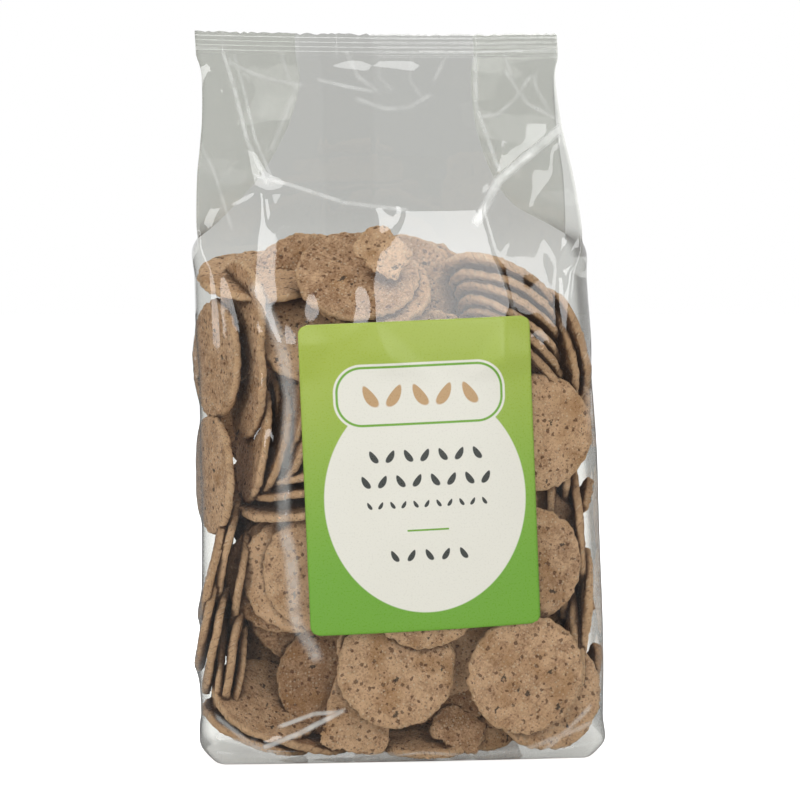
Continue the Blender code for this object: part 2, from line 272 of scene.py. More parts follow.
def filmGrid():
    # Points, outward directions, each column's panel, and how near its crease it is.
    rows = filmRows()[:, None]
    nFront, nSide = film["frontColumns"], film["sideColumns"]
    u = np.linspace(-1, 1, nFront + 1)[None, :-1]
    t = np.linspace(-1, 1, nSide + 1)[None, :-1]
    points = np.concatenate((
        panelPoint(u, rows, False), sidePoint(t, rows, True),
        panelPoint(-u, rows, True), sidePoint(-t, rows, False),
    ), axis=1)
    panel = np.repeat(np.arange(4), (nFront, nSide, nFront, nSide))
    outward = np.array(((0, -1, 0), (1, 0, 0), (0, 1, 0), (-1, 0, 0)), float)[panel]
    edge = np.abs(np.concatenate((u[0], t[0], -u[0], -t[0])))
    return points, outward, panel, edge


# The empty film above the crackers, in front, is made of nearly flat facets between sharp folds:
# x, height and depth of their corners.
frontShape = {
    "from": 144,
    "blend": 10,
    "plainRows": (149, 137),        # down here the corners lie on the plain film
    "plainColumns": (-76, 77, 8),
    "tautEdge": 9,
    "corners": (
        (-84, 273, 0.3), (-67, 273, 0.3), (-40, 273, 0.3), (-15, 273, 0.3),
        (5, 273, 0.3), (29, 273, 0.3), (59, 273, 0.3),
        # left fold from the seal to the shoulder, and the left edge
        (-67, 270, 1.2), (-64.5, 259, 5.4), (-60, 239, 14.0), (-54, 225, 21.5),
        (-83, 266, 1.6), (-83, 249, 5.5), (-83, 227, 12.5), (-82, 207, 20.0),
        (-77, 187, 25.5), (-75, 163, 26.5),
        # facets under the seal
        (-53, 266, 3.4), (-40.5, 262, 5.0), (-45.5, 249, 10.8), (-29, 268, 2.4), (-25, 257, 7.6),
        (-19, 262, 5.6), (-18, 269, 3.6), (-3, 269.5, 3.2), (-7, 262, 5.2), (-12, 256, 8.8),
        (-11, 250, 11.0),
        (1, 250, 11.2), (8, 256.5, 8.0), (11, 266, 2.8), (19, 259, 6.4),
        # the wide slope
        (-33, 238, 17.0), (-15, 234, 20.0), (5, 232, 21.4), (19, 238, 17.8), (-41, 230, 20.2),
        # right gusset fold, and above the diagonal fold
        (29, 269, 1.9), (28.5, 253, 9.6), (30, 237, 17.4), (43, 262, 3.6), (47, 250, 7.4), (40, 242, 12.4),
        # the crest of the diagonal fold and what lies below it
        (58, 243.5, 9.2), (47, 234.5, 16.4), (36.5, 225.5, 22.6), (34, 221, 25.2), (30.5, 213.5, 28.9),
        (59, 227, 12.0), (49, 214, 17.2), (40, 211, 22.4), (52, 203, 22.6), (39, 201, 27.4),
        (59, 266, 1.6), (61, 249, 5.5), (64, 227, 12.5), (65, 207, 20.0), (61, 187, 23.8),
        (60, 163, 26.5),
        # the sharp bend where the slope meets the upright panel
        (-43.5, 222, 23.4), (-24, 215.5, 27.4), (-11, 213, 29.0),
        # the upright panel
        (-39, 206, 30.6), (-23, 201, 31.8), (-12, 200, 32.4),
        (53, 188, 27.6), (-25, 184, 33.3), (-18, 176, 34.0), (-28, 163, 34.2), (-20, 160, 34.6),
        (53, 172, 29.0),
        (-69, 214, 22.8), (-67, 197, 27.2), (-69, 180, 28.6), (52, 158, 29.6),
    ),
    # Flat facets that mirror a softbox: a place on each with its depth, its slopes, where it is taut
    # (middle and half sizes), and its outline
    "facets": (
        ((12.0, 194.0, 32.4), (-0.035, -0.080), (11.5, 184.0, 34.0, 31.0),
         ((-3.2, 206.9), (-3.9, 201.2), (-7.6, 195.5), (-12.5, 191.7), (-14.4, 182.3),
          (-13.6, 170.9), (-7, 156), (36.6, 156), (36.4, 170.7), (39.9, 176.4), (33.5, 194.2),
          (28.2, 214.3), (14, 213.8), (-1.3, 213.4))),
        ((-52.0, 193.0, 30.8), (0.14, -0.10), (-51.0, 190.0, 19.0, 36.0),
         ((-55.5, 221), (-57.0, 207), (-57.5, 197), (-58.5, 181), (-58.0, 165),
          (-47.0, 161), (-49.0, 176), (-51.0, 190), (-52.0, 206), (-53.5, 220))),
    ),
}
# Sharp folds that stand out a little: height, half width, how white the film is there (whitened film
# with a painted sheen along the fold), which of three sets it is in (lines that meet are in different
# ones), and the line's x and height.
ridges = (
    (0.30, 1.5, 0.50, 0, ((-55, 225), (-43.5, 222), (-24, 215.5), (-2.5, 212.8))),
    (0.4, 1.6, 0.50, 1, ((-68, 271), (-64.5, 259), (-60, 239), (-54, 225))),
    (0.0, 1.3, 0.35, 2, ((-64, 271), (-61, 259), (-57, 240), (-51.5, 226))),
    (1.2, 3.2, 0.95, 1, ((61, 244), (47, 233), (35.5, 224), (29, 213))),
    (0.4, 1.7, 0.45, 0, ((29, 270), (28.5, 253), (35, 231))),
    (0.4, 1.6, 0.30, 2, ((-65, 269), (-53, 264), (-40.5, 261.5), (-45.5, 249), (-50, 238))),
    (0.4, 1.5, 0.40, 1, ((-30, 263), (-22, 261), (-14, 259.5))),
    (0.4, 1.8, 0.30, 2, ((-15, 255), (-7, 252), (2, 252.5), (8, 256))),
    (0.4, 1.5, 0.25, 0, ((30, 212), (33.5, 194), (40, 176))),
    (0.5, 1.6, 0.35, 2, ((42, 265), (49, 254), (57, 250))),
    (0.5, 1.6, 0.30, 1, ((31, 249), (37, 250), (44, 256), (49, 263))),
    (0.3, 1.4, 0.25, 0, ((-82, 246), (-73, 228), (-67, 208))),
    # gathers under the seal
    (0.5, 1.6, 0.25, 0, ((-46, 272), (-44, 265))),
    (0.6, 1.8, 0.30, 0, ((-20, 272), (-17, 265), (-12, 261))),
    (0.7, 1.5, 0.20, 1, ((-8, 272), (-9, 265), (-4, 260))),
    (0.6, 1.6, 0.20, 0, ((4, 272), (3, 264), (6, 259))),
    (0.5, 1.5, 0.25, 1, ((17, 272), (14, 266))),
    (0.5, 1.6, 0.30, 0, ((41, 272), (43, 266))),
    (0.5, 1.6, 0.25, 1, ((54, 272), (52, 262), (56, 254))),
    # fold marks in the seal, whitened, and painted glints along its ribs
    (0.0, 0.9, 0.40, 2, ((-69, 273), (-69, 282))),
    (0.0, 0.8, 0.30, 2, ((-40, 273), (-40, 282))),
    (0.0, 0.8, 0.35, 2, ((-25, 273), (-25, 282))),
    (0.0, 0.9, 0.45, 2, ((29.5, 273), (29.5, 282))),
    (0.0, 0.9, 0.55, 1, ((8, 275.2), (30, 274.9), (59, 275.6))),
    (0.0, 0.7, 0.40, 0, ((22, 278.0), (44, 277.8))),
    (0.0, 0.8, 0.40, 1, ((-79, 275.6), (-71, 275.2))),
    # a painted highlight: a pale strip down beside the label
    (0.3, 4.6, 0.42, 2, ((-54, 176), (-48, 162), (-44.5, 141), (-47.5, 103), (-47, 92), (-44.5, 80),
                         (-43, 57), (-39, 50))),
    # creases at the foot, whitened, with painted glints along them
    (0.9, 1.9, 0.85, 0, ((-52, 9), (-42, 13), (-28, 20.5))),
    (0.7, 1.6, 0.70, 1, ((-46, 17), (-36, 21), (-29, 21.5))),
    (0.6, 2.2, 0.45, 2, ((-77, 13), (-62, 9), (-44, 3))),
    (0.5, 1.8, 0.40, 1, ((-76, 22), (-66, 14), (-54, 4))),
    (0.5, 2.0, 0.35, 0, ((28, 3), (48, 6), (70, 14))),
    (0.4, 1.8, 0.35, 1, ((50, 2), (62, 12), (74, 24))),
    (0.3, 1.3, 0.45, 0, ((-74, 6), (-56, 4), (-30, 3), (-8, 4.5))),
    (0.3, 1.3, 0.40, 1, ((-14, 2.5), (6, 5), (24, 3))),
    (0.3, 1.3, 0.40, 2, ((30, 4.5), (52, 3.5), (72, 7))),
)
ridgeReach = 2.6    # how far the white and painted sheen of a fold reaches, in its half widths
ridgeBeyond = 9.0   # the distance that is kept where no fold is near


def ridgeLines(x, z):
    # How far the film stands out at the folds, and for each set of lines the distance across
    # the nearest one, in half widths, and how white it is, with its painted sheen.
    result = np.zeros(x.shape)
    off, white = np.full((3, *x.shape), ridgeBeyond), np.zeros((3, *x.shape))
    for rise, half, whiteningAndSheen, which, line in ridges:
        nearest, across = np.full(x.shape, 1e3), np.full(x.shape, 1e3)
        for (x0, z0), (x1, z1) in zip(line, line[1:]):
            long = math.hypot(x1 - x0, z1 - z0)
            t = np.clip(((x - x0) * (x1 - x0) + (z - z0) * (z1 - z0)) / long**2, 0, 1)
            far = np.hypot(x - x0 - t * (x1 - x0), z - z0 - t * (z1 - z0))
            side = ((x - x0) * (z1 - z0) - (z - z0) * (x1 - x0)) / long
            across = np.where(far < nearest, side, across)
            nearest = np.minimum(nearest, far)
        result = np.maximum(result, rise * smooth(1 - nearest / half))
        closer = nearest / half < np.abs(off[which])
        signed = np.sign(across) * np.maximum(np.abs(across), 1e-3) / half
        off[which] = np.where(closer, signed, off[which])
        there = whiteningAndSheen * smooth(ridgeReach - nearest / half)
        white[which] = np.where(closer, there, white[which])
    return result, np.moveaxis(off, 0, -1), np.moveaxis(white, 0, -1)


crumple = {
    "spacing": 19,      # between the corners of the small facets
    "rise": 0.3,        # most that a corner stands in or out over the crackers
    "topRise": 0.28,    # the same in the empty part
    "topBlend": (196, 14),
    "scatter": 0.4,     # how far a corner is off its grid, in spacings
    "halfWidths": (74, 30),  # of the front and back, and of the sides
    "beyond": 10,       # past the film's ends
    "underLabel": 0.8,  # how much flatter it is there
    "labelMargin": 6,
    "creaseShare": 0.1,  # of a panel's half, beside its crease, where the folds fade
    "fromBase": (3, 10),
    "toSeal": 6,
    "seed": 11,
}


def facetHeights(corners, x, z):
    # Height of the flat triangles over these corners, at every x and z.
    flat = [Vector((a, b)) for a, b, c in corners]
    rises = [c for a, b, c in corners]
    places, _, faces, fromPlace, _, _ = geometry.delaunay_2d_cdt(flat, [], [], 0, 1e-5)
    result = np.full(x.shape, np.nan)
    for face in faces:
        (ax, az), (bx, bz), (cx, cz) = (places[i] for i in face)
        ra, rb, rc = (rises[fromPlace[i][0]] for i in face)
        area = (bx - ax) * (cz - az) - (cx - ax) * (bz - az)
        wb = ((x - ax) * (cz - az) - (cx - ax) * (z - az)) / area
        wc = ((bx - ax) * (z - az) - (x - ax) * (bz - az)) / area
        inside = (wb >= 0) & (wc >= 0) & (wb + wc <= 1)
        result = np.where(inside, ra + wb * (rb - ra) + wc * (rc - ra), result)
    return result


def randomCorners(draw, halfWidth):
    spacing, beyond, scatter = crumple["spacing"], crumple["beyond"], crumple["scatter"]
    heights = np.arange(-beyond, bagHeight + beyond + 1, spacing)
    corners = [(x, z, 0.0) for x in (-halfWidth, halfWidth) for z in heights]
    for row, z in enumerate(heights):
        for x in np.arange(-halfWidth + spacing, halfWidth - spacing / 2, spacing):
            shift = spacing / 2 * (row % 2)
            place = (x + shift + draw.uniform(-scatter, scatter) * spacing,
                     z + draw.uniform(-scatter, scatter) * spacing)
            corners.append((*place, draw.uniform(-1, 1)))
    return corners


def blurred(field, times):
    for i in range(times):
        near = np.roll(field, 1, 1) + np.roll(field, -1, 1)
        tall = np.vstack((field[:1], field, field[-1:]))
        field = (4 * field + near + tall[:-2] + tall[2:]) / 8
    return field


def labelDistance(x, z):
    # How far a place on the front lies outside the label: below 0 is under it.
    across, up = rotated(x - printed["centre"][0], z - printed["centre"][1], -printed["turn"])
    return np.maximum(np.abs(across) - printed["width"] / 2, np.abs(up) - printed["height"] / 2)


def frontCorners():
    flat = []
    for (x0, z0, depth), (slopeX, slopeZ), _, outline in frontShape["facets"]:
        flat += [(x, z, depth + slopeX * (x - x0) + slopeZ * (z - z0)) for x, z in outline]
    columns = range(*frontShape["plainColumns"])
    plain = [(x, z, float(filmDepth(x, z))) for z in frontShape["plainRows"] for x in columns]
    return (*frontShape["corners"], *flat, *plain)


def tautness(x, z):
    result, edge = np.zeros(x.shape), frontShape["tautEdge"]
    for _, _, (middleX, middleZ, halfX, halfZ), _ in frontShape["facets"]:
        here = smooth((halfX - np.abs(x - middleX)) / edge) * smooth((halfZ - np.abs(z - middleZ)) / edge)
        result = np.maximum(result, here)
    return result


def foldField(points, panel):
    # How far the film stands out of its plain shape because of folds and facets.
    draw = random.Random(crumple["seed"])
    x = points[..., 0] - leanAt(points[..., 2])
    field = np.zeros(x.shape)
    topFrom, topBlend = crumple["topBlend"]
    margin = crumple["labelMargin"]
    for which in range(4):
        mine = panel == which
        isWide = which in (0, 2)
        across, tall = x[:, mine] if isWide else points[:, mine, 1], points[:, mine, 2]
        corners = randomCorners(draw, crumple["halfWidths"][which % 2])
        top = smooth((tall - topFrom) / topBlend)
        rise = crumple["rise"] * (1 - top) + crumple["topRise"] * top * isWide
        heights = np.nan_to_num(facetHeights(corners, across, tall)) * rise
        if which == 0:
            plainX = points[:, mine, 0]
            under = smooth((margin - labelDistance(plainX, tall)) / margin)
            heights *= 1 - crumple["underLabel"] * under
            heights *= 1 - tautness(plainX, tall)
            byHand = facetHeights(frontCorners(), plainX, tall) + points[:, mine, 1]
            byHand = np.where(np.isnan(byHand), 0, byHand)
            heights += byHand * smooth((tall - frontShape["from"]) / frontShape["blend"])
            heights += ridgeLines(plainX, tall)[0]
        field[:, mine] = heights
    return blurred(field, 2)


def sealShape(points):
    # Crimped ribs, the uneven zigzag cut and the sag of the seal's middle.
    x, z = points[..., 0] - leanAt(bagHeight), points[..., 2]
    inSeal = np.clip((z - sealStart) / film["sealHeight"], 0, 1)
    ribs = np.sin(2 * math.pi * film["sealRibs"] * inSeal) * film["ribDepth"]
    ribs = ribs * (inSeal > 0) * (inSeal < film["ribsTo"])
    wander, wanderRate = film["cutWander"]
    teeth = (x - film["cutStart"] + wander * np.sin(x * wanderRate)) / film["cutPitch"]
    zigzag = np.abs(teeth % 1 - 0.5) * 2
    worn = 0.4 * np.sin(x * 0.41 + 1.3) * np.sin(x * 0.153)
    uneven = 0.6 + worn + 0.5 * smooth(np.sin(x * 0.29 + 2) * 3 - 2)
    cut = film["cutDepth"] * zigzag * uneven * smooth((inSeal - film["cutFrom"]) / (1 - film["cutFrom"]))
    across = np.clip(np.abs(x) / film["sealHalf"], 0, 1)
    deep, sagFrom, sagBlend = film["sealSag"]
    moved = points.copy()
    moved[..., 1] += ribs
    moved[..., 2] -= cut + deep * (1 - across**2) * smooth((z - sagFrom) / sagBlend)
    return moved


def finShare(points):
    # 1 on the lengthwise seal, which lies flat on the back, and 0 beside it.
    steep, end = film["finEdge"]
    across = points[..., 0] - leanAt(points[..., 2]) - film["finPlace"]
    return smooth(steep * (end - np.abs(across) / film["finHalfWidth"]))


def backFin(points, panel):
    z, blend = points[..., 2], film["finBlend"]
    tall = smooth((z - film["baseRound"]) / blend) * smooth((sealStart - z) / blend)
    return film["finDepth"] * finShare(points) * tall * (panel == 2)


pull = {
    "deepest": 1.7,     # most that the film goes in between the crackers, in front and behind
    "highShare": 0.35,  # share of that above the label
    "deepestSide": 2.2,
    "clear": 0.35,      # from the film to a cracker
    "suck": 0.035,      # inward pull at each step
    "start": 0.6,       # share of the most, before the first step
    "steps": 260,
    "top": 206,         # the crackers reach this high
    "topMargin": 12,
    "fromTop": (4, 26),
    "fromBase": (4, 12),
    "highBlend": (146, 24),
    "creaseShare": 0.22,
    "underLabel": 0.85,
    "labelMargin": (5, 6),
    "castFrom": 2,      # outside the film
    "castTo": 14,
}


def pulledIn(points, outward, panel, edge, folds, heap):
    # The film is laid on the crackers like a skin: it rests on them and goes in between them.
    z = points[..., 2]
    start = points + outward * folds[..., None]
    outside = pull["castFrom"]
    gap = np.full(z.shape, float(pull["castTo"] - outside))
    for i in np.nonzero(z[:, 0] < pull["top"] + pull["topMargin"])[0]:
        for k in range(points.shape[1]):
            away = Vector(-outward[k])
            hit = heap.ray_cast(Vector(start[i, k] + outward[k] * outside), away, pull["castTo"])
            if hit[0] is not None:
                gap[i, k] = hit[3] - outside
    deepest = np.where(panel % 2 == 0, pull["deepest"], pull["deepestSide"])
    room = (smooth((1 - edge) / pull["creaseShare"]) * deepest)[None, :]
    (base, baseBlend), (top, topBlend) = pull["fromBase"], pull["fromTop"]
    most = room * smooth((z - base) / baseBlend) * smooth((pull["top"] - top - z) / topBlend)
    front = panel == 0
    high, highBlend = pull["highBlend"]
    most *= 1 - (1 - pull["highShare"]) * smooth((z - high) / highBlend)
    margin, blend = pull["labelMargin"]
    under = smooth((margin - labelDistance(points[:, front, 0], z[:, front])) / blend)
    most[:, front] *= (1 - pull["underLabel"] * under) * (1 - tautness(points[:, front, 0], z[:, front]))
    limit = np.minimum(most, gap - pull["clear"])
    inward = np.minimum(limit, most * pull["start"])
    for step in range(pull["steps"]):
        near = np.roll(inward, 1, 1) + np.roll(inward, -1, 1)
        tall = np.vstack((inward[:1], inward, inward[-1:]))
        inward = np.minimum(limit, (near + tall[:-2] + tall[2:]) / 4 + pull["suck"])
    return inward


def makeFilm(heap, surface):
    points, outward, panel, edge = filmGrid()
    z, (base, blend) = points[..., 2], crumple["fromBase"]
    folds = foldField(points, panel) * smooth((1 - edge) / crumple["creaseShare"])[None, :]
    folds *= smooth((z - base) / blend) * smooth((sealStart - z) / crumple["toSeal"])
    inward = pulledIn(points, outward, panel, edge, folds, heap)
    out = folds - inward + backFin(points, panel)
    out = blurred(out, 1)
    points = points + outward[None] * out[..., None]
    skin = points.copy()
    points = sealShape(points)
    points[..., 2] = np.maximum(points[..., 2], film["lowest"])
    rows, around = points.shape[:2]
    points, faces = closeBase(points.reshape(-1, 3), gridFaces(rows, around), around)
    piece = addPiece("film", (points + toFrame) * mm, faces, surface)
    base = np.full(len(points) - rows * around, filmLook["tints"]["back"])
    tints, folded = filmTints(skin, panel)
    setAttribute(piece, "tint", np.concatenate((tints.ravel(), base)))
    setAttribute(piece, "folded", np.concatenate((folded.ravel(), 0 * base)))
    # Whitened film with a painted sheen along the folds in front.
    _, off, white = ridgeLines(skin[..., 0], skin[..., 2])
    white *= (panel == 0)[:, None]
    nothing = np.zeros((len(base), 3))
    setAttribute(piece, "creaseOff", np.vstack((off.reshape(-1, 3), nothing)))
    setAttribute(piece, "creaseWhiteAndSheen", np.vstack((white.reshape(-1, 3), nothing)))
    creaseEdges(piece, skin, edge)
    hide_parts("bag_of_crackers")
    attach(piece, "root")
    return skin


def filmTints(skin, panel):
    # How much light the film lets through, and where it is folded in.
    tints = filmLook["tints"]
    highFrom, highBlend = filmLook["highBlend"]
    high = smooth((skin[..., 2] - highFrom) / highBlend)
    side = tints["side"] + (tints["foldedSide"] - tints["side"]) * high
    front = tints["front"] + (tints["highFront"] - tints["front"]) * high
    back = tints["back"] * (1 - (1 - tints["fin"]) * finShare(skin))
    values = np.where(panel == 0, front, np.where(panel == 2, back, side))
    return values, high * (panel % 2 == 1)


def creaseEdges(piece, skin, edge):
    # The upright creases between the panels are sharp where the gussets are folded in.
    rows, around = skin.shape[:2]
    isFold = (edge > 0.999) | (edge < 0.001)
    sharp = []
    for line in piece.data.edges:
        a, b = line.vertices
        upright = a % around == b % around and max(a, b) < rows * around and isFold[a % around]
        sharp.append(bool(upright and skin[a // around, 0, 2] > film["foldedFrom"]))
    mark = piece.data.attributes.new("sharp_edge", "BOOLEAN", "EDGE")
    mark.data.foreach_set("value", sharp)


def closeBase(points, faces, around):
    # The base: the lowest ring of the film, filled by smaller rings and a middle point.
    ring, count = points[:around], len(points)
    middle, lift = ring.mean(0), (0, 0, film["baseLift"])
    extra = [middle + (ring - middle) * share + lift for share in film["baseRings"]]
    points = np.vstack((points, *extra, middle + lift))
    last = list(range(around))
    for number in range(len(extra)):
        these = [count + number * around + k for k in range(around)]
        faces += [(last[k], these[k], these[(k + 1) % around], last[(k + 1) % around]) for k in range(around)]
        last = these
    faces += [(last[k], len(points) - 1, last[(k + 1) % around]) for k in range(around)]
    return points, faces


# Crackers: a few rough round shapes, some of them broken

cracker = {
    "radius": 23,
    "thickness": 3.5,
    "spokes": 116,
    "rings": 12,
    "kinds": 12,
    # kinds with a piece broken off: the ways that the breaks face and their distance from the middle
    "breaks": {
        8: ((35, 0.36), (120, 0.46), (215, 0.34), (305, 0.44)),
        9: ((0, 0.35),),
        10: ((0, 0.55),),
        11: ((180, 0.15), (270, 0.3)),
    },
    "breakPower": 3.6,
    "breakNoise": ((9, 0.8), (3, 1.4)),  # how fine and how large, as for the others below
    "leastLeft": 2.5,
    "fits": {8: 0.45, 11: 0.54},  # how large the small ones are then
    "ragged": 0.75,     # roughness of the rim
    "outOfRound": (1.3, 0.022),
    "rimNoise": ((7, 1.2), (17, 0.8), (31, 0.5)),
    "faceNoise": ((0.30, 1.3), (0.75, 0.6)),
    "bendNoise": (0.06, 0.7),
    "innerRing": 0.02,
    "roundFrom": 0.93,  # the rim's rounding starts at this share of the radius
    "rimAngles": (55, 20, -20, -55),
    "thinner": 0.18,    # towards the rim
    "bumps": 0.3,
    "creviceShadeReach": 14,  # painted shade darkens the dough where another cracker is this near
    "dome": 0.9,
    "warps": (1.2, 0.7),
    "sizes": (0.97, 1.03),
    "joined": 5,        # pieces that all of them are joined into
    "fitShare": (0.985, 0.46),  # of the radius and thickness, for fitting them together
    "seed": 5,
    "toneSeed": 209,
}


def crackerProfile():
    # From the middle of one face, round the rim, to the middle of the other: reach and height.
    rings, inner, roundFrom = cracker["rings"], cracker["innerRing"], cracker["roundFrom"]
    flat = [inner + (roundFrom - inner) * i / rings for i in range(rings + 1)]
    turns = [math.radians(degrees) for degrees in cracker["rimAngles"]]
    rim = [(roundFrom + (1 - roundFrom) * math.cos(turn), math.sin(turn)) for turn in turns]
    return [(near, 1.0) for near in flat] + rim + [(near, -1.0) for near in reversed(flat)]


def crackerKind(number):
    # One cracker about its own middle, in millimetres, with how near each point is to the rim.
    draw = random.Random(cracker["seed"] * 100 + number)
    here = Vector((draw.uniform(-50, 50), draw.uniform(-50, 50), number * 7.3))
    size, half, power = cracker["radius"], cracker["thickness"] / 2, cracker["breakPower"]
    warp = [draw.uniform(-1, 1) * cracker["dome"] for i in range(3)]
    (roundScale, roundShare), (bendScale, bendShare) = cracker["outOfRound"], cracker["bendNoise"]
    twist, saddle = cracker["warps"]
    points, rims = [], []
    for near, up in crackerProfile():
        for i in range(cracker["spokes"]):
            angle = math.tau * i / cracker["spokes"]
            flat = Vector((math.cos(angle), math.sin(angle), 0))
            radius = size * (1 + roundShare * noise.noise(flat * roundScale + here))
            for scale, share in cracker["rimNoise"]:
                radius += cracker["ragged"] * noise.noise(flat * scale + here) * share
            inverse = 0.0
            for degrees, left in cracker["breaks"].get(number, ()):
                reach = math.cos(angle - math.radians(degrees))
                line = left * size
                for scale, share in cracker["breakNoise"]:
                    line += share * noise.noise(flat * scale + here)
                if reach > 0.05:
                    inverse += (reach / max(line, cracker["leastLeft"])) ** power
            if inverse:
                radius = (radius**-power + inverse) ** (-1 / power)
            place = flat * radius * near
            bend = warp[0] * (place.x**2 + place.y**2) + warp[1] * place.x * place.y * twist
            bend += warp[2] * (place.x**2 - place.y**2) * saddle
            bend /= size**2
            bend += bendShare * noise.noise(place * bendScale + here)
            rough = 0.0
            for scale, share in cracker["faceNoise"]:
                rough += noise.noise(place * scale + here + Vector((0, 0, up * 5))) * share
            thin = 1 - cracker["thinner"] * near**4 if abs(up) == 1 else 1
            tall = up * (half * thin + cracker["bumps"] * rough) + bend
            sideways = cracker["bumps"] * rough * 0.8 * (abs(up) < 1)
            points.append((place.x + flat.x * sideways, place.y + flat.y * sideways, tall))
            rims.append(near)
    points = np.array(points)
    if number in cracker["breaks"]:
        points[:, :2] -= points[:, :2].mean(0)
    return points, np.array(rims)


def crackerFaces():
    spokes, rows = cracker["spokes"], len(crackerProfile())
    sides = [(a, d, c, b) for a, b, c, d in gridFaces(rows, spokes)]
    return sides + [list(range(spokes)), [(rows - 1) * spokes + k for k in reversed(range(spokes))]]


def crackerTurn(turn, lean, roll, spin, outward=Vector((0, -1, 0))):
    # Turned to the right, leaning back and rolled clockwise as seen from outside.
    facing = outward.copy()
    sideways = Vector((0, 0, 1)).cross(facing)
    facing = Matrix.Rotation(math.radians(-lean), 3, sideways) @ facing
    facing = Matrix.Rotation(math.radians(turn), 3, "Z") @ facing
    facing = Matrix.Rotation(math.radians(-roll), 3, outward) @ facing
    return (facing.to_track_quat("Z", "Y").to_matrix() @ Matrix.Rotation(spin, 3, "Z")).to_4x4()
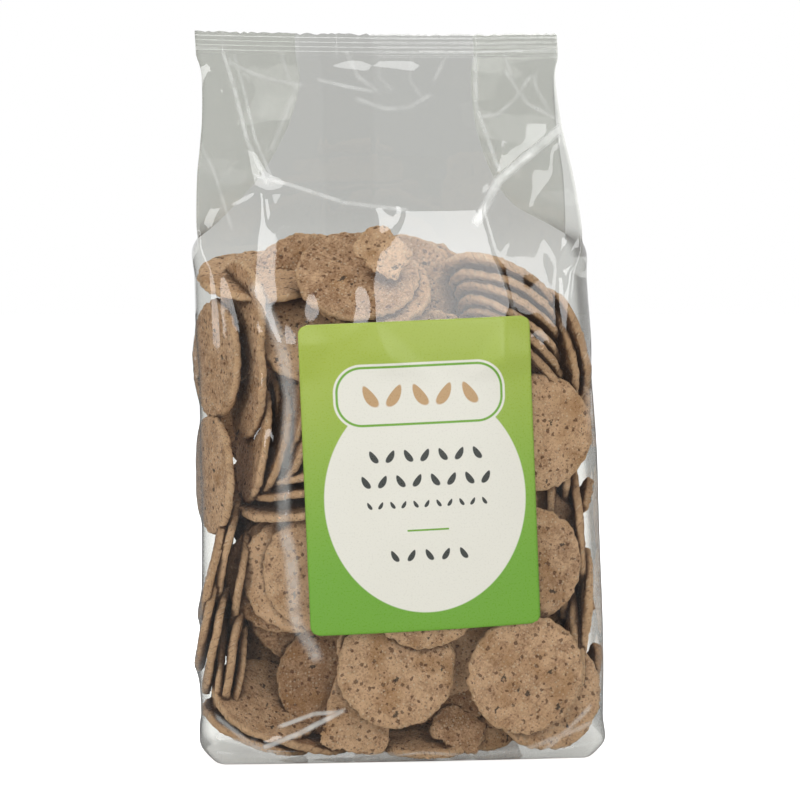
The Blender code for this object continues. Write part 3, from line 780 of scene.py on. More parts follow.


# The crackers that show, given one by one. Each rests against a wall of the bag: place along it, height,
# distance from it, turned to the right, leaning back, rolled clockwise, kind and, for a broken one,
# the way that its break faces. Each moves in until it is clear of those before it.
shownLayer = {
    "clear": 0.7,       # from the film
    "clearSlack": 0.3,
    "step": 0.6,
    "lowest": 1.6,
    "asideTries": 80,
    "asideStep": 0.5,
    "farthest": 90.0,
    "halvings": 12,
    "mostAside": 3,
    "mostMovedShown": 26,
    "core": 0.82,       # a shown cracker may touch others outside this share of its size
    "places": (
        # low on the front
        ("front", 45.8, 34.2, 0.0, 8, 0, 0, 0),
        ("front", -26.2, 11.8, 0.0, 4, 10, 0, 11, -14),
        ("front", 10.4, 8.6, 0.0, 0, 76, -4, 2),
        ("front", 20.6, 11.0, 1.0, 6, 24, 0, 8, 20),
        ("front", -53.5, 21.4, 0.0, -6, 60, 24, 7),
        ("front", -56.5, 14.2, 0.0, 0, 84, 22, 5),
        ("front", -42.0, 6.5, 2.0, 0, 84, 16, 4),
        ("front", 55.5, 25.8, 3.8, 14, 6, 0, 2),
        ("front", 27.5, 30.4, 4.0, 2, -2, 0, 1),
        ("front", 9.3, 22.5, 5.0, -8, 22, 0, 9, 270),
        ("front", -8.5, 33.0, 17.0, -10, 22, 4, 4),
        ("front", -48.5, 39.5, 22.0, -14, 18, 0, 10, 42),
        ("front", -27.0, 30.0, 14.0, -8, 12, 0, 6),
        ("front", 32.0, 24.6, 12.0, 10, 8, 0, 3),
        ("front", 6.3, 68.0, 0.6, 2, 0, 0, 5),
        ("front", -33.3, 74.3, 0.4, -14, 0, 0, 0),
        ("front", -41.6, 73.2, 3.0, -16, 2, 0, 1),
        ("front", -48.0, 71.6, 6.0, -18, 2, 0, 3),
        # edge-on at the lower left
        ("left", 0, 74.9, 0.0, -96, 0, 13, 3),
        ("left", 2, 55.0, 0.0, -94, 0, 11, 4),
        ("left", 0, 45.7, 4.3, -94, 0, 11, 5),
        ("left", 0, 38.2, 8.6, -94, 0, 10, 2),
        ("left", 2, 80.0, 4.3, -93, 0, 12, 3),
        ("left", 3, 70.0, 8.6, -93, 0, 11, 0),
        ("left", 4, 33.0, 0.0, -91, 0, 6, 6),
        ("left", 5, 30.0, 4.3, -91, 0, 8, 1),
        ("left", 12, 100.0, 4.0, -90, 0, 4, 2),
        ("left", 6, 128.0, 6.0, -82, 0, 2, 4),
        # oblique ones higher up on the left
        ("left", -3, 110.1, 0.0, -75, 0, 0, 6),
        ("front", -60.5, 147.6, 0.0, -77, 0, 2, 2),
        ("left", -2, 155.3, 0.0, -70, 0, 0, 7),
        ("front", -62.0, 169.9, 1.0, -72, 0, -2, 0),
        ("front", -18.1, 187.6, 0.0, 0, 47, 0, 1),
        ("front", -34.0, 165.0, 1.0, -6, 42, 0, 6),
        ("front", -37.5, 181.5, 4.0, -12, 14, 0, 2),
        ("front", 0.5, 181.0, 16.0, 6, 8, 0, 6),
        ("front", -8.5, 196.5, 8.0, 0, 10, 0, 8, 10),
        ("front", -56.0, 186.0, 8.0, -12, 68, 6, 7),
        # the fan between them and the label
        ("front", -57.5, 121.7, 0.0, -80, 0, 9, 0),
        ("front", -52.0, 122.9, 0.0, -78, 0, 16, 1),
        ("front", -46.5, 136.0, 0.0, -70, 0, 12, 4),
        ("front", -44.0, 123.8, 0.0, -80, 0, 22, 2),
        ("front", -29.4, 125.8, 0.0, 0, 82, -24, 2),
        ("front", -34.9, 116.1, 0.0, 0, 82, -19, 3),
        ("front", -37.6, 107.9, 0.0, 0, 83, -13, 4),
        ("front", -40.8, 100.5, 0.0, 0, 83, -7, 5),
        # the right column
        ("front", 50.5, 127.4, 0.0, 14, 0, 0, 3),
        ("front", 45.8, 76.6, 0.0, 14, -4, 0, 4),
        ("front", 47.0, 63.0, 3.0, 16, 2, 0, 1),
        ("front", 50.0, 83.0, 3.5, 18, 10, 0, 2),
        ("front", 53.0, 47.3, 6.0, 24, 0, 0, 5),
        ("right", 0, 87.2, 0.0, 84, 0, -5, 6),
        ("right", 1, 56.0, 0.0, 86, 0, 4, 7),
        ("right", 4, 36.0, 0.0, 88, 0, 2, 0),
        ("right", 2, 118.0, 0.0, 84, 0, 4, 1),
        ("right", 3, 100.0, 4.3, 85, 0, 2, 3),
        ("right", 2, 74.0, 4.3, 86, 0, -2, 5),
        ("right", 3, 44.0, 4.3, 88, 0, 3, 2),
        ("right", 3, 136.0, 2.0, 86, 0, -6, 6),
        # the stack above the label's right corner
        ("front", 37.3, 184.5, 0.0, 0, 108, 23, 0),
        ("front", 39.3, 178.2, 0.0, 0, 108, 26, 2),
        ("front", 40.5, 171.8, 0.0, 0, 108, 31, 4),
        ("front", 41.5, 165.6, 0.0, 0, 108, 35, 5),
        ("front", 42.4, 159.4, 0.0, 0, 108, 38, 6),
        ("front", 43.2, 153.2, 0.0, 0, 108, 40, 3),
        # pieces between the upright ones and the film at the sides
        ("right", 0, 31.0, 1.4, 90, 0, 10, 8),
        ("right", 6, 62.0, 1.4, 88, 0, -20, 11),
        ("right", -3, 98.0, 1.6, 92, 0, 30, 8),
        ("right", 4, 128.0, 1.4, 90, 0, 0, 11),
        # against the back, where the ones in front leave gaps
        ("back", -50, 131.0, 0.0, 176, 4, 0, 3),
        ("back", -48, 96.0, 0.0, 183, -4, 0, 6),
        ("back", -50, 62.0, 0.0, 178, 5, 0, 1),
        ("back", 50, 100.0, 0.0, 182, 3, 0, 4),
        ("back", 52, 140.0, 0.0, 177, -3, 0, 0),
        ("right", 0, 160.0, 0.0, 104, 0, -14, 3),
        ("right", 0, 153.0, 4.5, 102, 0, -10, 7),
    ),
    "seed": 21,
}
# A layer against the back and the sides and behind the label, at random
backLayer = {
    "columns": (-50, -25, 0, 25, 50),
    "sideColumns": (-8, 8),
    "rows": (24, 180, 17),
    "stagger": 12,
    "scatter": 6,
    "underLabel": -14,  # in front only this far in from the label's edge
    "tilt": 14,
    "edgeOn": 0.1,      # share of them that stand edge-on, turned or leaning by this much
    "edgeTurn": (60, 90),
    "edgeLean": (55, 85),
    "roll": 20,
    "behind": 1.5,
    "mostMoved": 16,
    "facing": {"front": 0, "back": 180, "left": -90, "right": 90},
}


def filmDepth(x, height):
    # How far the plain film lies in front of the middle at these places.
    across = np.abs(x - leanAt(height))
    halfWidth, halfDepth = sectionValue(height, 1), sectionValue(height, 2)
    u = np.clip(across / halfWidth, 0, 1)
    inside = halfDepth + sectionValue(height, 3) * (1 - u ** film["panelRoundness"])
    bulge = np.maximum(sectionValue(height, 4), 1)
    past = np.clip((across - halfWidth) / bulge, 0, 1)
    return np.where(across <= halfWidth, inside, halfDepth * (1 - past) ** (1 / film["sideRoundness"]))


def discShape():
    # A plain round slab, a little smaller than a cracker, for fitting the crackers together.
    sides, (wide, thick) = filling["sides"], cracker["fitShare"]
    ring = circle(sides) * cracker["radius"] * wide
    half = np.array((0, 0, cracker["thickness"] * thick))
    caps = [list(reversed(range(sides))), [sides + i for i in range(sides)]]
    return np.vstack((ring - half, ring + half)), gridFaces(2, sides) + caps


class Heap:
    # The crackers that are in place, with what is needed to keep the next one clear of them.

    def __init__(self):
        self.disc, self.faces = discShape()
        self.matrices, self.trees, self.kinds = [], [], []

    def outline(self, matrix, kind=0):
        share = cracker["fits"].get(kind, 1)
        return (self.disc * (share, share, 1)) @ np.array(matrix.to_3x3()).T + np.array(matrix.translation)

    def tree(self, matrix, kind):
        return BVHTree.FromPolygons([Vector(p) for p in self.outline(matrix, kind)], self.faces)

    def isFree(self, matrix, kind=0, share=1.0):
        here = self.tree(matrix @ Matrix.Scale(share, 4), kind)
        reach = 2 * cracker["radius"] + 1
        return not any(
            (other.translation - matrix.translation).length < reach and self.trees[i].overlap(here)
            for i, other in enumerate(self.matrices)
        )

    def add(self, matrix, kind):
        self.matrices.append(matrix)
        self.trees.append(self.tree(matrix, kind))
        self.kinds.append(kind)

    def filmGap(self, matrix, kind=0):
        points = self.outline(matrix, kind)
        return (filmDepth(points[:, 0], points[:, 2]) - np.abs(points[:, 1])).min()

    def rest(self, wall, along, height, behind, turned, kind, mostMoved, share=1.0):
        # Puts a cracker against a wall of the bag, further in if others are in the way. With a share
        # under 1 only its core has to be clear of them, and it is placed even if that fails.
        ways = {"front": (0, -1, 0), "back": (0, 1, 0), "left": (-1, 0, 0), "right": (1, 0, 0)}
        outward = Vector(ways[wall])
        lowest = self.outline(turned, kind)[:, 2].min()
        place = Vector((along, 0, height)) if outward.y else Vector((leanAt(height), along, height))
        place.z = max(height, shownLayer["lowest"] - lowest)
        clear = shownLayer["clear"]
        for attempt in range(shownLayer["asideTries"]):
            if self.filmGap(Matrix.Translation(place) @ turned, kind) >= clear:
                break
            aside = Vector((place.x - leanAt(height), 0, 0)) if outward.y else Vector((0, place.y, 0))
            place -= aside.normalized() * shownLayer["asideStep"]
        near, far = 0.0, shownLayer["farthest"]
        for halving in range(shownLayer["halvings"]):
            middle = (near + far) / 2
            if self.filmGap(Matrix.Translation(place + outward * middle) @ turned, kind) >= clear:
                near = middle
            else:
                far = middle
        place += outward * (near - behind)
        facing = turned.to_3x3() @ Vector((0, 0, 1))
        inward = Vector((0, 1, 0)) if share < 1 else -outward
        mostAside = shownLayer["mostAside"]
        for moved in np.arange(0, mostMoved, shownLayer["step"]):
            for way, most in ((inward, mostMoved), (facing, mostAside), (-facing, mostAside)):
                matrix = Matrix.Translation(place + way * min(moved, most)) @ turned
                gap = clear - shownLayer["clearSlack"]
                if self.isFree(matrix, kind, share) and self.filmGap(matrix, kind) >= gap:
                    self.add(matrix, kind)
                    return True
        if share < 1:
            self.add(Matrix.Translation(place) @ turned, kind)
        return False


def shownCrackers(heap):
    draw = random.Random(shownLayer["seed"])
    touching = 0
    for wall, along, height, behind, turn, lean, roll, kind, *breakAt in shownLayer["places"]:
        spin = math.radians(breakAt[0]) if breakAt else draw.uniform(0, math.tau)
        turned = crackerTurn(turn, lean, roll, spin)
        touching += not heap.rest(
            wall, along, height, behind, turned, kind, shownLayer["mostMovedShown"], shownLayer["core"])
    print("crackers set by hand:", len(heap.matrices), "of which run into others:", touching)


def backCrackers(heap):
    draw = random.Random(shownLayer["seed"] + 1)
    scatter, tilt, roll = backLayer["scatter"], backLayer["tilt"], backLayer["roll"]
    for row, height in enumerate(np.arange(*backLayer["rows"])):
        for wall in ("back", "front", "left", "right"):
            for along in backLayer["columns"] if wall in ("back", "front") else backLayer["sideColumns"]:
                if wall == "front" and labelDistance(along, height) > backLayer["underLabel"]:
                    continue
                along += draw.uniform(-scatter, scatter) + (backLayer["stagger"] if row % 2 else 0)
                turn, lean = draw.uniform(-tilt, tilt), draw.uniform(-tilt, tilt)
                if draw.random() < backLayer["edgeOn"]:
                    turned = (draw.uniform(*backLayer["edgeTurn"]), lean)
                    leaning = (turn, draw.uniform(*backLayer["edgeLean"]))
                    turn, lean = draw.choice((turned, leaning))
                turn += backLayer["facing"][wall]
                turned = crackerTurn(turn, lean, draw.uniform(-roll, roll), draw.uniform(0, math.tau))
                heap.rest(wall, along, height + draw.uniform(-scatter, scatter),
                          draw.uniform(0, backLayer["behind"]), turned,
                          draw.choice(filling["kinds"]), backLayer["mostMoved"])
    print("crackers with the back ones:", len(heap.matrices))


filling = {
    "most": 165,        # crackers in all
    "tries": 12000,
    "sides": 16,
    "gap": (3.25, 4.2),  # from the middle of a cracker to the next one in its stack
    "shift": 11,        # sideways from it
    "tilt": 4,
    "loose": 0.1,       # share of the tries that start a new stack, within these bounds
    "looseBounds": ((-60, 60), (-10, 24), (10, 195)),
    "looseLean": 75,
    "fromFilm": 1.0,
    "lowest": 1.2,
    "kinds": (0, 1, 2, 3, 4, 5, 6, 7, 9, 10),
    # layers: from, to and step in depth, up and across, and how far off a cracker is from its place
    "layers": ((30, -26, -3.6), (24, 190, 11), (-62, 63, 12)),
    "layerScatter": (6, 2, 7),
    "layerTries": 4,
    "layerTilt": 8,
    # the heap's top: x and height
    "top": ((-80, 180), (-74, 191), (-50, 195), (-38, 198), (-25, 202), (-8, 206), (4, 205),
            (14, 196), (20, 189), (34, 195), (50, 193), (58, 185), (66, 175), (78, 160)),
    "seed": 3,
}


def hasRoom(heap, matrix, kind):
    # Above the base, under the heap's top, inside the film and clear of the others.
    tall = heap.outline(matrix, kind)[:, 2]
    highest = np.interp(matrix.translation.x, *np.array(filling["top"], float).T)
    if tall.min() < filling["lowest"] or tall.max() > highest:
        return False
    return heap.filmGap(matrix, kind) >= filling["fromFilm"] and heap.isFree(matrix, kind)


def layerCrackers(heap):
    # Layers from the back to the front: a cracker lies flat in each place that has room for one.
    draw = random.Random(filling["seed"] + 1)
    depths, heights, columns = (np.arange(*bounds) for bounds in filling["layers"])
    aside, deep, up = filling["layerScatter"]
    tilt = filling["layerTilt"]
    before = len(heap.matrices)
    for depth, height, along in itertools.product(depths, heights, columns):
        for attempt in range(filling["layerTries"]):
            place = Vector((along + draw.uniform(-aside, aside) + leanAt(height),
                            depth + draw.uniform(-deep, deep), height + draw.uniform(-up, up)))
            turn, lean = draw.uniform(-1, 1) * tilt, draw.uniform(-1, 1) * tilt
            turned = crackerTurn(turn, lean, 0, draw.uniform(0, math.tau))
            matrix = Matrix.Translation(place) @ turned
            kind = draw.choice(filling["kinds"])
            if hasRoom(heap, matrix, kind):
                heap.add(matrix, kind)
                break
    print("laid in layers:", len(heap.matrices) - before, "crackers")


def fillingCrackers(heap):
    # The rest of the heap: stacks grow from the crackers that are there, wherever there is room.
    draw = random.Random(filling["seed"])
    before = len(heap.matrices)
    for attempt in range(filling["tries"]):
        if draw.random() < filling["loose"]:
            place = Vector([draw.uniform(*bounds) for bounds in filling["looseBounds"]])
            matrix = Matrix.Translation(place) @ crackerTurn(
                draw.uniform(-180, 180), draw.uniform(-filling["looseLean"], filling["looseLean"]), 0,
                draw.uniform(0, math.tau))
        else:
            parent = heap.matrices[draw.randrange(len(heap.matrices))]
            off = draw.uniform(*filling["gap"]) * draw.choice((-1, 1))
            side = Vector((draw.uniform(-1, 1), draw.uniform(-1, 1), 0)) * filling["shift"]
            axis = Vector((draw.uniform(-1, 1), draw.uniform(-1, 1), 0.01)).normalized()
            tilt = Matrix.Rotation(math.radians(draw.uniform(-1, 1) * filling["tilt"]), 4, axis)
            spin = Matrix.Rotation(draw.uniform(0, math.tau), 4, "Z")
            matrix = parent @ Matrix.Translation(side + Vector((0, 0, off))) @ tilt @ spin
        kind = draw.choice(filling["kinds"])
        if hasRoom(heap, matrix, kind):
            heap.add(matrix, kind)
            if len(heap.matrices) >= filling["most"]:
                break
    print("filled in", len(heap.matrices) - before, "crackers after", attempt + 1, "tries")


def makeCrackers(places, surface):
    # All the crackers as a few joined pieces, and a search tree of them for the film.
    kinds = [crackerKind(number) for number in range(cracker["kinds"])]
    cover = crackerFaces()
    draw = random.Random(cracker["toneSeed"])
    groups = cracker["joined"]
    heapPoints, heapFaces, pieces = [], [], []
    for group in range(groups):
        points, faces, dough, rims, tones = [], [], [], [], []
        for matrix, kind in places[group::groups]:
            shape, rim = kinds[kind]
            turn = np.array(matrix.to_3x3())
            size = draw.uniform(*cracker["sizes"])
            start = sum(len(p) for p in points)
            points.append((shape * size) @ turn.T + np.array(matrix.translation))
            dough.append(shape + np.array([draw.uniform(-300, 300) for i in range(3)]))
            rims.append(rim)
            tones.append(np.full(len(rim), draw.uniform(0, 1)))
            faces += [tuple(start + v for v in face) for face in cover]
        points = np.vstack(points)
        name = f"crackers_{group + 1}"
        piece = addPiece(name, (points + toFrame) * mm, faces, surface)
        setAttribute(piece, "dough", np.vstack(dough) * mm)
        setAttribute(piece, "rim", np.concatenate(rims))
        setAttribute(piece, "tone", np.concatenate(tones))
        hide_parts("bag_of_crackers")
        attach(piece, "root")
        base = len(heapPoints)
        heapPoints += [Vector(point) for point in points]
        heapFaces += [tuple(base + v for v in face) for face in faces]
        pieces.append((piece, base))
    tree = BVHTree.FromPolygons(heapPoints, heapFaces)
    # Painted shade: how much each point is covered by the other crackers, kept as an attribute.
    for piece, base in pieces:
        normals = np.empty(len(piece.data.vertices) * 3, np.float32)
        piece.data.vertex_normals.foreach_get("vector", normals)
        shade = [creviceShade(tree, heapPoints[base + i], Vector(n)) for i, n in enumerate(normals.reshape(-1, 3))]
        setAttribute(piece, "creviceShade", np.array(shade))
    print("crackers made:", len(places))
    return tree


def creviceShade(tree, point, normal):
    # How much a place is covered by the crackers around it, for the painted shade between them: 0 in the
    # open, 1 deep between them.
    reach = cracker["creviceShadeReach"]
    aside = normal.orthogonal() * 0.75
    other = normal.cross(aside)
    covered = 0.0
    for way in (normal + aside, normal - aside, normal + other, normal - other):
        hit = tree.ray_cast(point + normal * 0.25, way, reach)
        if hit[0] is not None:
            covered += (1 - hit[3] / reach) / 4
    return covered


# The printed label

printed = {
    "width": 88.5,
    "height": 118.2,
    "corner": 3.5,
    "centre": (4.6, 112.0),
    "turn": 2.3,
    "offFilm": 0.25,
    "thickness": 0.12,
    "columns": 96,
    "rows": 130,
}

# The frame's origin is the middle of the whole outline, so the sections are shifted to fit it.
tallRows = np.linspace(0, bagHeight, 600)
frontMost = (sectionValue(tallRows, 2) + sectionValue(tallRows, 3)).max()
toFrame = np.array((
    (labelBox[0].x + labelBox[1].x) / 2 / mm - printed["centre"][0],
    labelBox[0].y / mm + 0.6 + frontMost,
    0.0,
))


def makeLabel(skin, surface):
    # The label follows the film's front, a little off it; its flat place on the print is kept.
    front = skin[:, : film["frontColumns"] + 1]
    across = np.linspace(-1, 1, printed["columns"] + 1)
    up = np.linspace(-1, 1, printed["rows"] + 1)
    halfWidth, halfHeight, corner = printed["width"] / 2, printed["height"] / 2, printed["corner"]
    place = []
    for v in up * halfHeight:
        past = max(0.0, abs(v) - (halfHeight - corner))
        half = halfWidth - corner + math.sqrt(max(0.0, corner**2 - past**2))
        place.append(np.stack((across * half, np.full(across.shape, v)), -1))
    place = np.array(place)
    x, z = rotated(place[..., 0], place[..., 1], printed["turn"])
    x, z = x + printed["centre"][0], z + printed["centre"][1]
    rows = front[:, 0, 2]
    i = np.clip(np.searchsorted(rows, z) - 1, 0, len(rows) - 2)
    t = (z - rows[i]) / (rows[i + 1] - rows[i])
    u = np.clip((x - leanAt(z)) / sectionValue(z, 1), -0.999, 0.999)
    k = (u + 1) / 2 * film["frontColumns"]
    k0 = np.floor(k).astype(int)
    s = k - k0
    depth = front[..., 1]
    y = (depth[i, k0] * (1 - s) + depth[i, k0 + 1] * s) * (1 - t)
    y += (depth[i + 1, k0] * (1 - s) + depth[i + 1, k0 + 1] * s) * t
    points = np.stack((x, y - printed["offFilm"], z), -1)
    faces = gridFaces(*points.shape[:2], closed=False)
    piece = addPiece("label_print", (points.reshape(-1, 3) + toFrame) * mm, faces, surface)
    flat = np.concatenate((place, np.zeros((*place.shape[:2], 1))), -1).reshape(-1, 3)
    setAttribute(piece, "printPlace", flat)
    body = piece.modifiers.new("thickness", "SOLIDIFY")
    body.thickness = printed["thickness"] * mm
    body.offset = -1
    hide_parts("label")
    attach(piece, "root")
    print("label made")


# Materials

dough = {
    "light": (0.86, 0.56, 0.34, 1),
    "dark": (0.38, 0.205, 0.105, 1),
    "toasted": (0.46, 0.235, 0.085, 1),
    # painted shade between the crackers
    "creviceShade": (0.10, 0.042, 0.018, 1),
    "speck": (0.11, 0.038, 0.017, 1),
    "seed": (0.035, 0.03, 0.028, 1),
    "sesame": (0.95, 0.78, 0.55, 1),
    # pale crust on the rim, partly a painted highlight
    "crustAndRimHighlight": (0.84, 0.56, 0.33, 1),
    "tone": (0.34, -0.18),
    "bump": 0.0013,
    # spots, one layer over another: cells in a metre, the least random value that makes one, its
    # smallest and largest size, stretch, strength, colour and whether it fades on the rim
    "spots": {
        "bit": (700, 0.60, 0.10, 0.30, 1, 0.45, "sesame", False),
        "fine": (820, 0.55, 0.10, 0.30, 1, 0.42, "speck", False),
        "speck": (300, 0.38, 0.07, 0.24, 1, 0.70, "speck", True),
        "seed": (90, 0.82, 0.06, 0.13, 1.9, 0.80, "seed", True),
    },
    "spotGrain": 0.55,  # raggedness of the spots
    "raised": (("speck", -0.22), ("bit", 0.25), ("seed", 0.2)),
}


def spotMask(tree, place, grain, scale, least, small, large, stretch):
    # Spots of several sizes: those cells of a pattern whose random value is above the least.
    spread = addNode(tree, "ShaderNodeMapping", {"Vector": place, "Scale": (1, stretch, 1)}).outputs[0]
    cells = addNode(tree, "ShaderNodeTexVoronoi", {"Vector": spread, "Scale": scale}, voronoi_dimensions="2D")
    value = addNode(tree, "ShaderNodeSeparateColor", {0: cells.outputs["Color"]}).outputs[0]
    size = addNode(tree, "ShaderNodeMapRange", {0: value, 1: least, 2: 1.0, 3: small, 4: large}).outputs[0]
    ragged = dough["spotGrain"]
    uneven = doMath(tree, "MULTIPLY_ADD", grain, ragged, minus(tree, cells.outputs["Distance"], ragged / 2))
    return times(tree, doMath(tree, "LESS_THAN", uneven, size), doMath(tree, "GREATER_THAN", value, least))


def doughMaterial():
    made, tree = newMaterial("baked_cracker")
    place, rim = attribute(tree, "dough", "Vector"), attribute(tree, "rim")
    blotch = noiseTexture(tree, {"Vector": place, "Scale": 190, "Detail": 3})
    grain = noiseTexture(tree, {"Vector": place, "Scale": 900, "Detail": 3, "Roughness": 0.7})
    mixed = doMath(tree, "MULTIPLY_ADD", blotch, 0.7, times(tree, grain, 0.9))
    mixed = plus(tree, mixed, doMath(tree, "MULTIPLY_ADD", attribute(tree, "tone"), *dough["tone"]))
    colour = mixColour(tree, mapRange(tree, mixed, 0.50, 1.02), dough["dark"], dough["light"])
    toasted = noiseTexture(tree, {"Vector": place, "Scale": 75, "Detail": 2})
    colour = mixColour(tree, mapRange(tree, toasted, 0.5, 0.72, 0, 0.55), colour, dough["toasted"])
    # A paler rim: pale crumb crust, and partly a painted highlight that sets overlapping crackers apart.
    colour = mixColour(tree, mapRange(tree, rim, 0.935, 0.985, 0, 0.5), colour, dough["crustAndRimHighlight"])
    height = doMath(tree, "MULTIPLY_ADD", grain, 0.8, times(tree, blotch, 0.5))

    # The pattern of spots is flat on the two faces and slants over the rim.
    split = addNode(tree, "ShaderNodeSeparateXYZ", {0: place})
    onFace = addNode(tree, "ShaderNodeCombineXYZ", {
        0: doMath(tree, "MULTIPLY_ADD", split.outputs[2], 0.6, split.outputs[0]),
        1: doMath(tree, "MULTIPLY_ADD", split.outputs[2], 0.8, split.outputs[1]),
    }).outputs[0]
    onRim = mapRange(tree, rim, 0.935, 0.97, 1, 0.25)
    masks = {}
    for name, (scale, least, small, large, stretch, strength, ink, fades) in dough["spots"].items():
        mask = spotMask(tree, onFace, grain, scale, least, small, large, stretch)
        masks[name] = times(tree, mask, onRim) if fades else mask
        colour = mixColour(tree, times(tree, masks[name], strength), colour, dough[ink])
    for name, rise in dough["raised"]:
        height = plus(tree, height, times(tree, masks[name], rise))

    # Painted shade: the dough darkens where other crackers cover it.
    deep = mapRange(tree, attribute(tree, "creviceShade"), 0.03, 0.6, 0, 0.9)
    colour = mixColour(tree, deep, colour, dough["creviceShade"])
    bump = addNode(tree, "ShaderNodeBump", {"Height": height, "Strength": 1.0, "Distance": dough["bump"]})
    shader = addNode(tree, "ShaderNodeBsdfPrincipled", {
        "Base Color": colour,
        "Roughness": minus(tree, 0.82, times(tree, masks["bit"], 0.5)),
        "Specular IOR Level": 0.35,
        "Normal": bump.outputs[0],
    })
    addNode(tree, "ShaderNodeOutputMaterial", {"Surface": shader.outputs[0]})
    return made


def filmWaves():
    # Fine unevenness of the thin film, used by the film and by the label that is stuck on it.
    group = bpy.data.node_groups.new("film_waves", "ShaderNodeTree")
    for name, way in (("Fine", "INPUT"), ("Broad", "INPUT"), ("Height", "OUTPUT")):
        group.interface.new_socket(name, in_out=way, socket_type="NodeSocketFloat")
    entry = addNode(group, "NodeGroupInput").outputs
    place = addNode(group, "ShaderNodeTexCoord").outputs["Object"]
    fine = noiseTexture(group, {"Vector": place, "Scale": 260, "Detail": 2})
    stretched = addNode(group, "ShaderNodeMapping", {"Vector": place, "Scale": (1, 1, 0.35)}).outputs[0]
    broad = noiseTexture(group, {"Vector": stretched, "Scale": 60, "Detail": 1})
    total = plus(group, times(group, fine, entry["Fine"]), times(group, broad, entry["Broad"]))
    addNode(group, "NodeGroupOutput", {"Height": total})
    return group


def wavyBump(tree, waves, fine, broad, strength, distance):
    group = addNode(tree, "ShaderNodeGroup", node_tree=waves)
    group.inputs["Fine"].default_value = fine
    group.inputs["Broad"].default_value = broad
    inputs = {"Height": group.outputs[0], "Strength": strength, "Distance": distance}
    return addNode(tree, "ShaderNodeBump", inputs).outputs[0]


filmLook = {
    # share of the light that each part lets through
    "tints": {
        "front": 0.79, "highFront": 0.70, "back": 0.78, "fin": 0.97, "side": 0.82, "foldedSide": 0.985,
    },
    "highBlend": (192, 22),
    "waves": (0.05, 0.5, 0.35, 0.0008),  # fine, broad, strength and distance
    "roughness": 0.045,
    "steepPower": 4.0,
    "reflect": 0.065,
    "foldedShine": 0.35,  # share of that where the film is folded in
    "toLights": 0.97,   # share that passes where it isn't seen by the camera itself
    "slantDepth": 1.2,
    "cast": (0.995, 0.98),  # red and blue, against green
    "haze": 0.008,
    "foldedHaze": 0.13,
    "slantHaze": 0.45,
    "hazeColour": (0.60, 0.60, 0.585, 1),
    "foldedColour": (0.92, 0.93, 0.91, 1),
    # whitened film with a painted sheen along the sharp folds
    "creaseWhiteAndSheenShare": 0.6,
    "creaseEdge": (0.15, 0.85),
    "creaseWhiteAndSheenColour": (0.95, 0.96, 0.93, 1),
}


def creaseWhiteAndSheenMask(tree):
    # White lines along the sharp folds, whitened film with a painted sheen, from the distance to them.
    off = attribute(tree, "creaseOff", "Vector")
    white = attribute(tree, "creaseWhiteAndSheen", "Vector")
    off = addNode(tree, "ShaderNodeSeparateXYZ", {0: off}).outputs
    white = addNode(tree, "ShaderNodeSeparateXYZ", {0: white}).outputs
    place = addNode(tree, "ShaderNodeTexCoord").outputs["Object"]
    broken = noiseTexture(tree, {"Vector": place, "Scale": 160, "Detail": 2})
    broken = mapRange(tree, broken, 0.35, 0.62, 0.65, 1)
    total = 0.0
    for i in range(3):
        line = mapRange(tree, doMath(tree, "ABSOLUTE", off[i]), *filmLook["creaseEdge"], 1, 0)
        total = doMath(tree, "MAXIMUM", total, times(tree, line, white[i]))
    return times(tree, total, broken)


def filmMaterial(waves):
    made, tree = newMaterial("clear_film")
    bump = wavyBump(tree, waves, *filmLook["waves"])
    facing = addNode(tree, "ShaderNodeLayerWeight", {"Blend": 0.5, "Normal": bump}).outputs["Facing"]
    steep = doMath(tree, "POWER", facing, filmLook["steepPower"])
    folded = attribute(tree, "folded")
    reflect = doMath(tree, "MULTIPLY_ADD", steep, 1 - filmLook["reflect"], filmLook["reflect"])
    reflect = times(tree, reflect, mapRange(tree, folded, 0, 1, 1, filmLook["foldedShine"]))
    tint = attribute(tree, "tint")
    seen = addNode(tree, "ShaderNodeLightPath").outputs["Is Camera Ray"]
    tint = addNode(tree, "ShaderNodeMix", {0: seen, 2: filmLook["toLights"], 3: tint}).outputs[0]
    clearness = doMath(tree, "POWER", tint, doMath(tree, "MULTIPLY_ADD", steep, filmLook["slantDepth"], 1.0))
    red, blue = (times(tree, clearness, share) for share in filmLook["cast"])
    shade = addNode(tree, "ShaderNodeCombineColor", {"Red": red, "Green": clearness, "Blue": blue}).outputs[0]
    through = addNode(tree, "ShaderNodeBsdfTransparent", {"Color": shade}).outputs[0]
    gloss = addNode(tree, "ShaderNodeBsdfAnisotropic", {
        "Color": (1, 1, 1, 1), "Roughness": filmLook["roughness"], "Normal": bump,
    }).outputs[0]
    # Whitening and painted sheen along the folds.
    whiteAndSheen = creaseWhiteAndSheenMask(tree)
    milk = mixColour(tree, folded, filmLook["hazeColour"], filmLook["foldedColour"])
    milk = mixColour(tree, mapRange(tree, whiteAndSheen, 0, 0.3), milk, filmLook["creaseWhiteAndSheenColour"])
    haze = addNode(tree, "ShaderNodeBsdfDiffuse", {"Color": milk}).outputs[0]
    share = mapRange(tree, folded, 0, 1, filmLook["haze"], filmLook["foldedHaze"])
    share = plus(tree, share, times(tree, steep, filmLook["slantHaze"]))
    share = plus(tree, share, times(tree, whiteAndSheen, filmLook["creaseWhiteAndSheenShare"]))
    body = addNode(tree, "ShaderNodeMixShader", {0: share, 1: through, 2: haze}).outputs[0]
    surface = addNode(tree, "ShaderNodeMixShader", {0: reflect, 1: body, 2: gloss}).outputs[0]
    addNode(tree, "ShaderNodeOutputMaterial", {"Surface": surface})
    return made


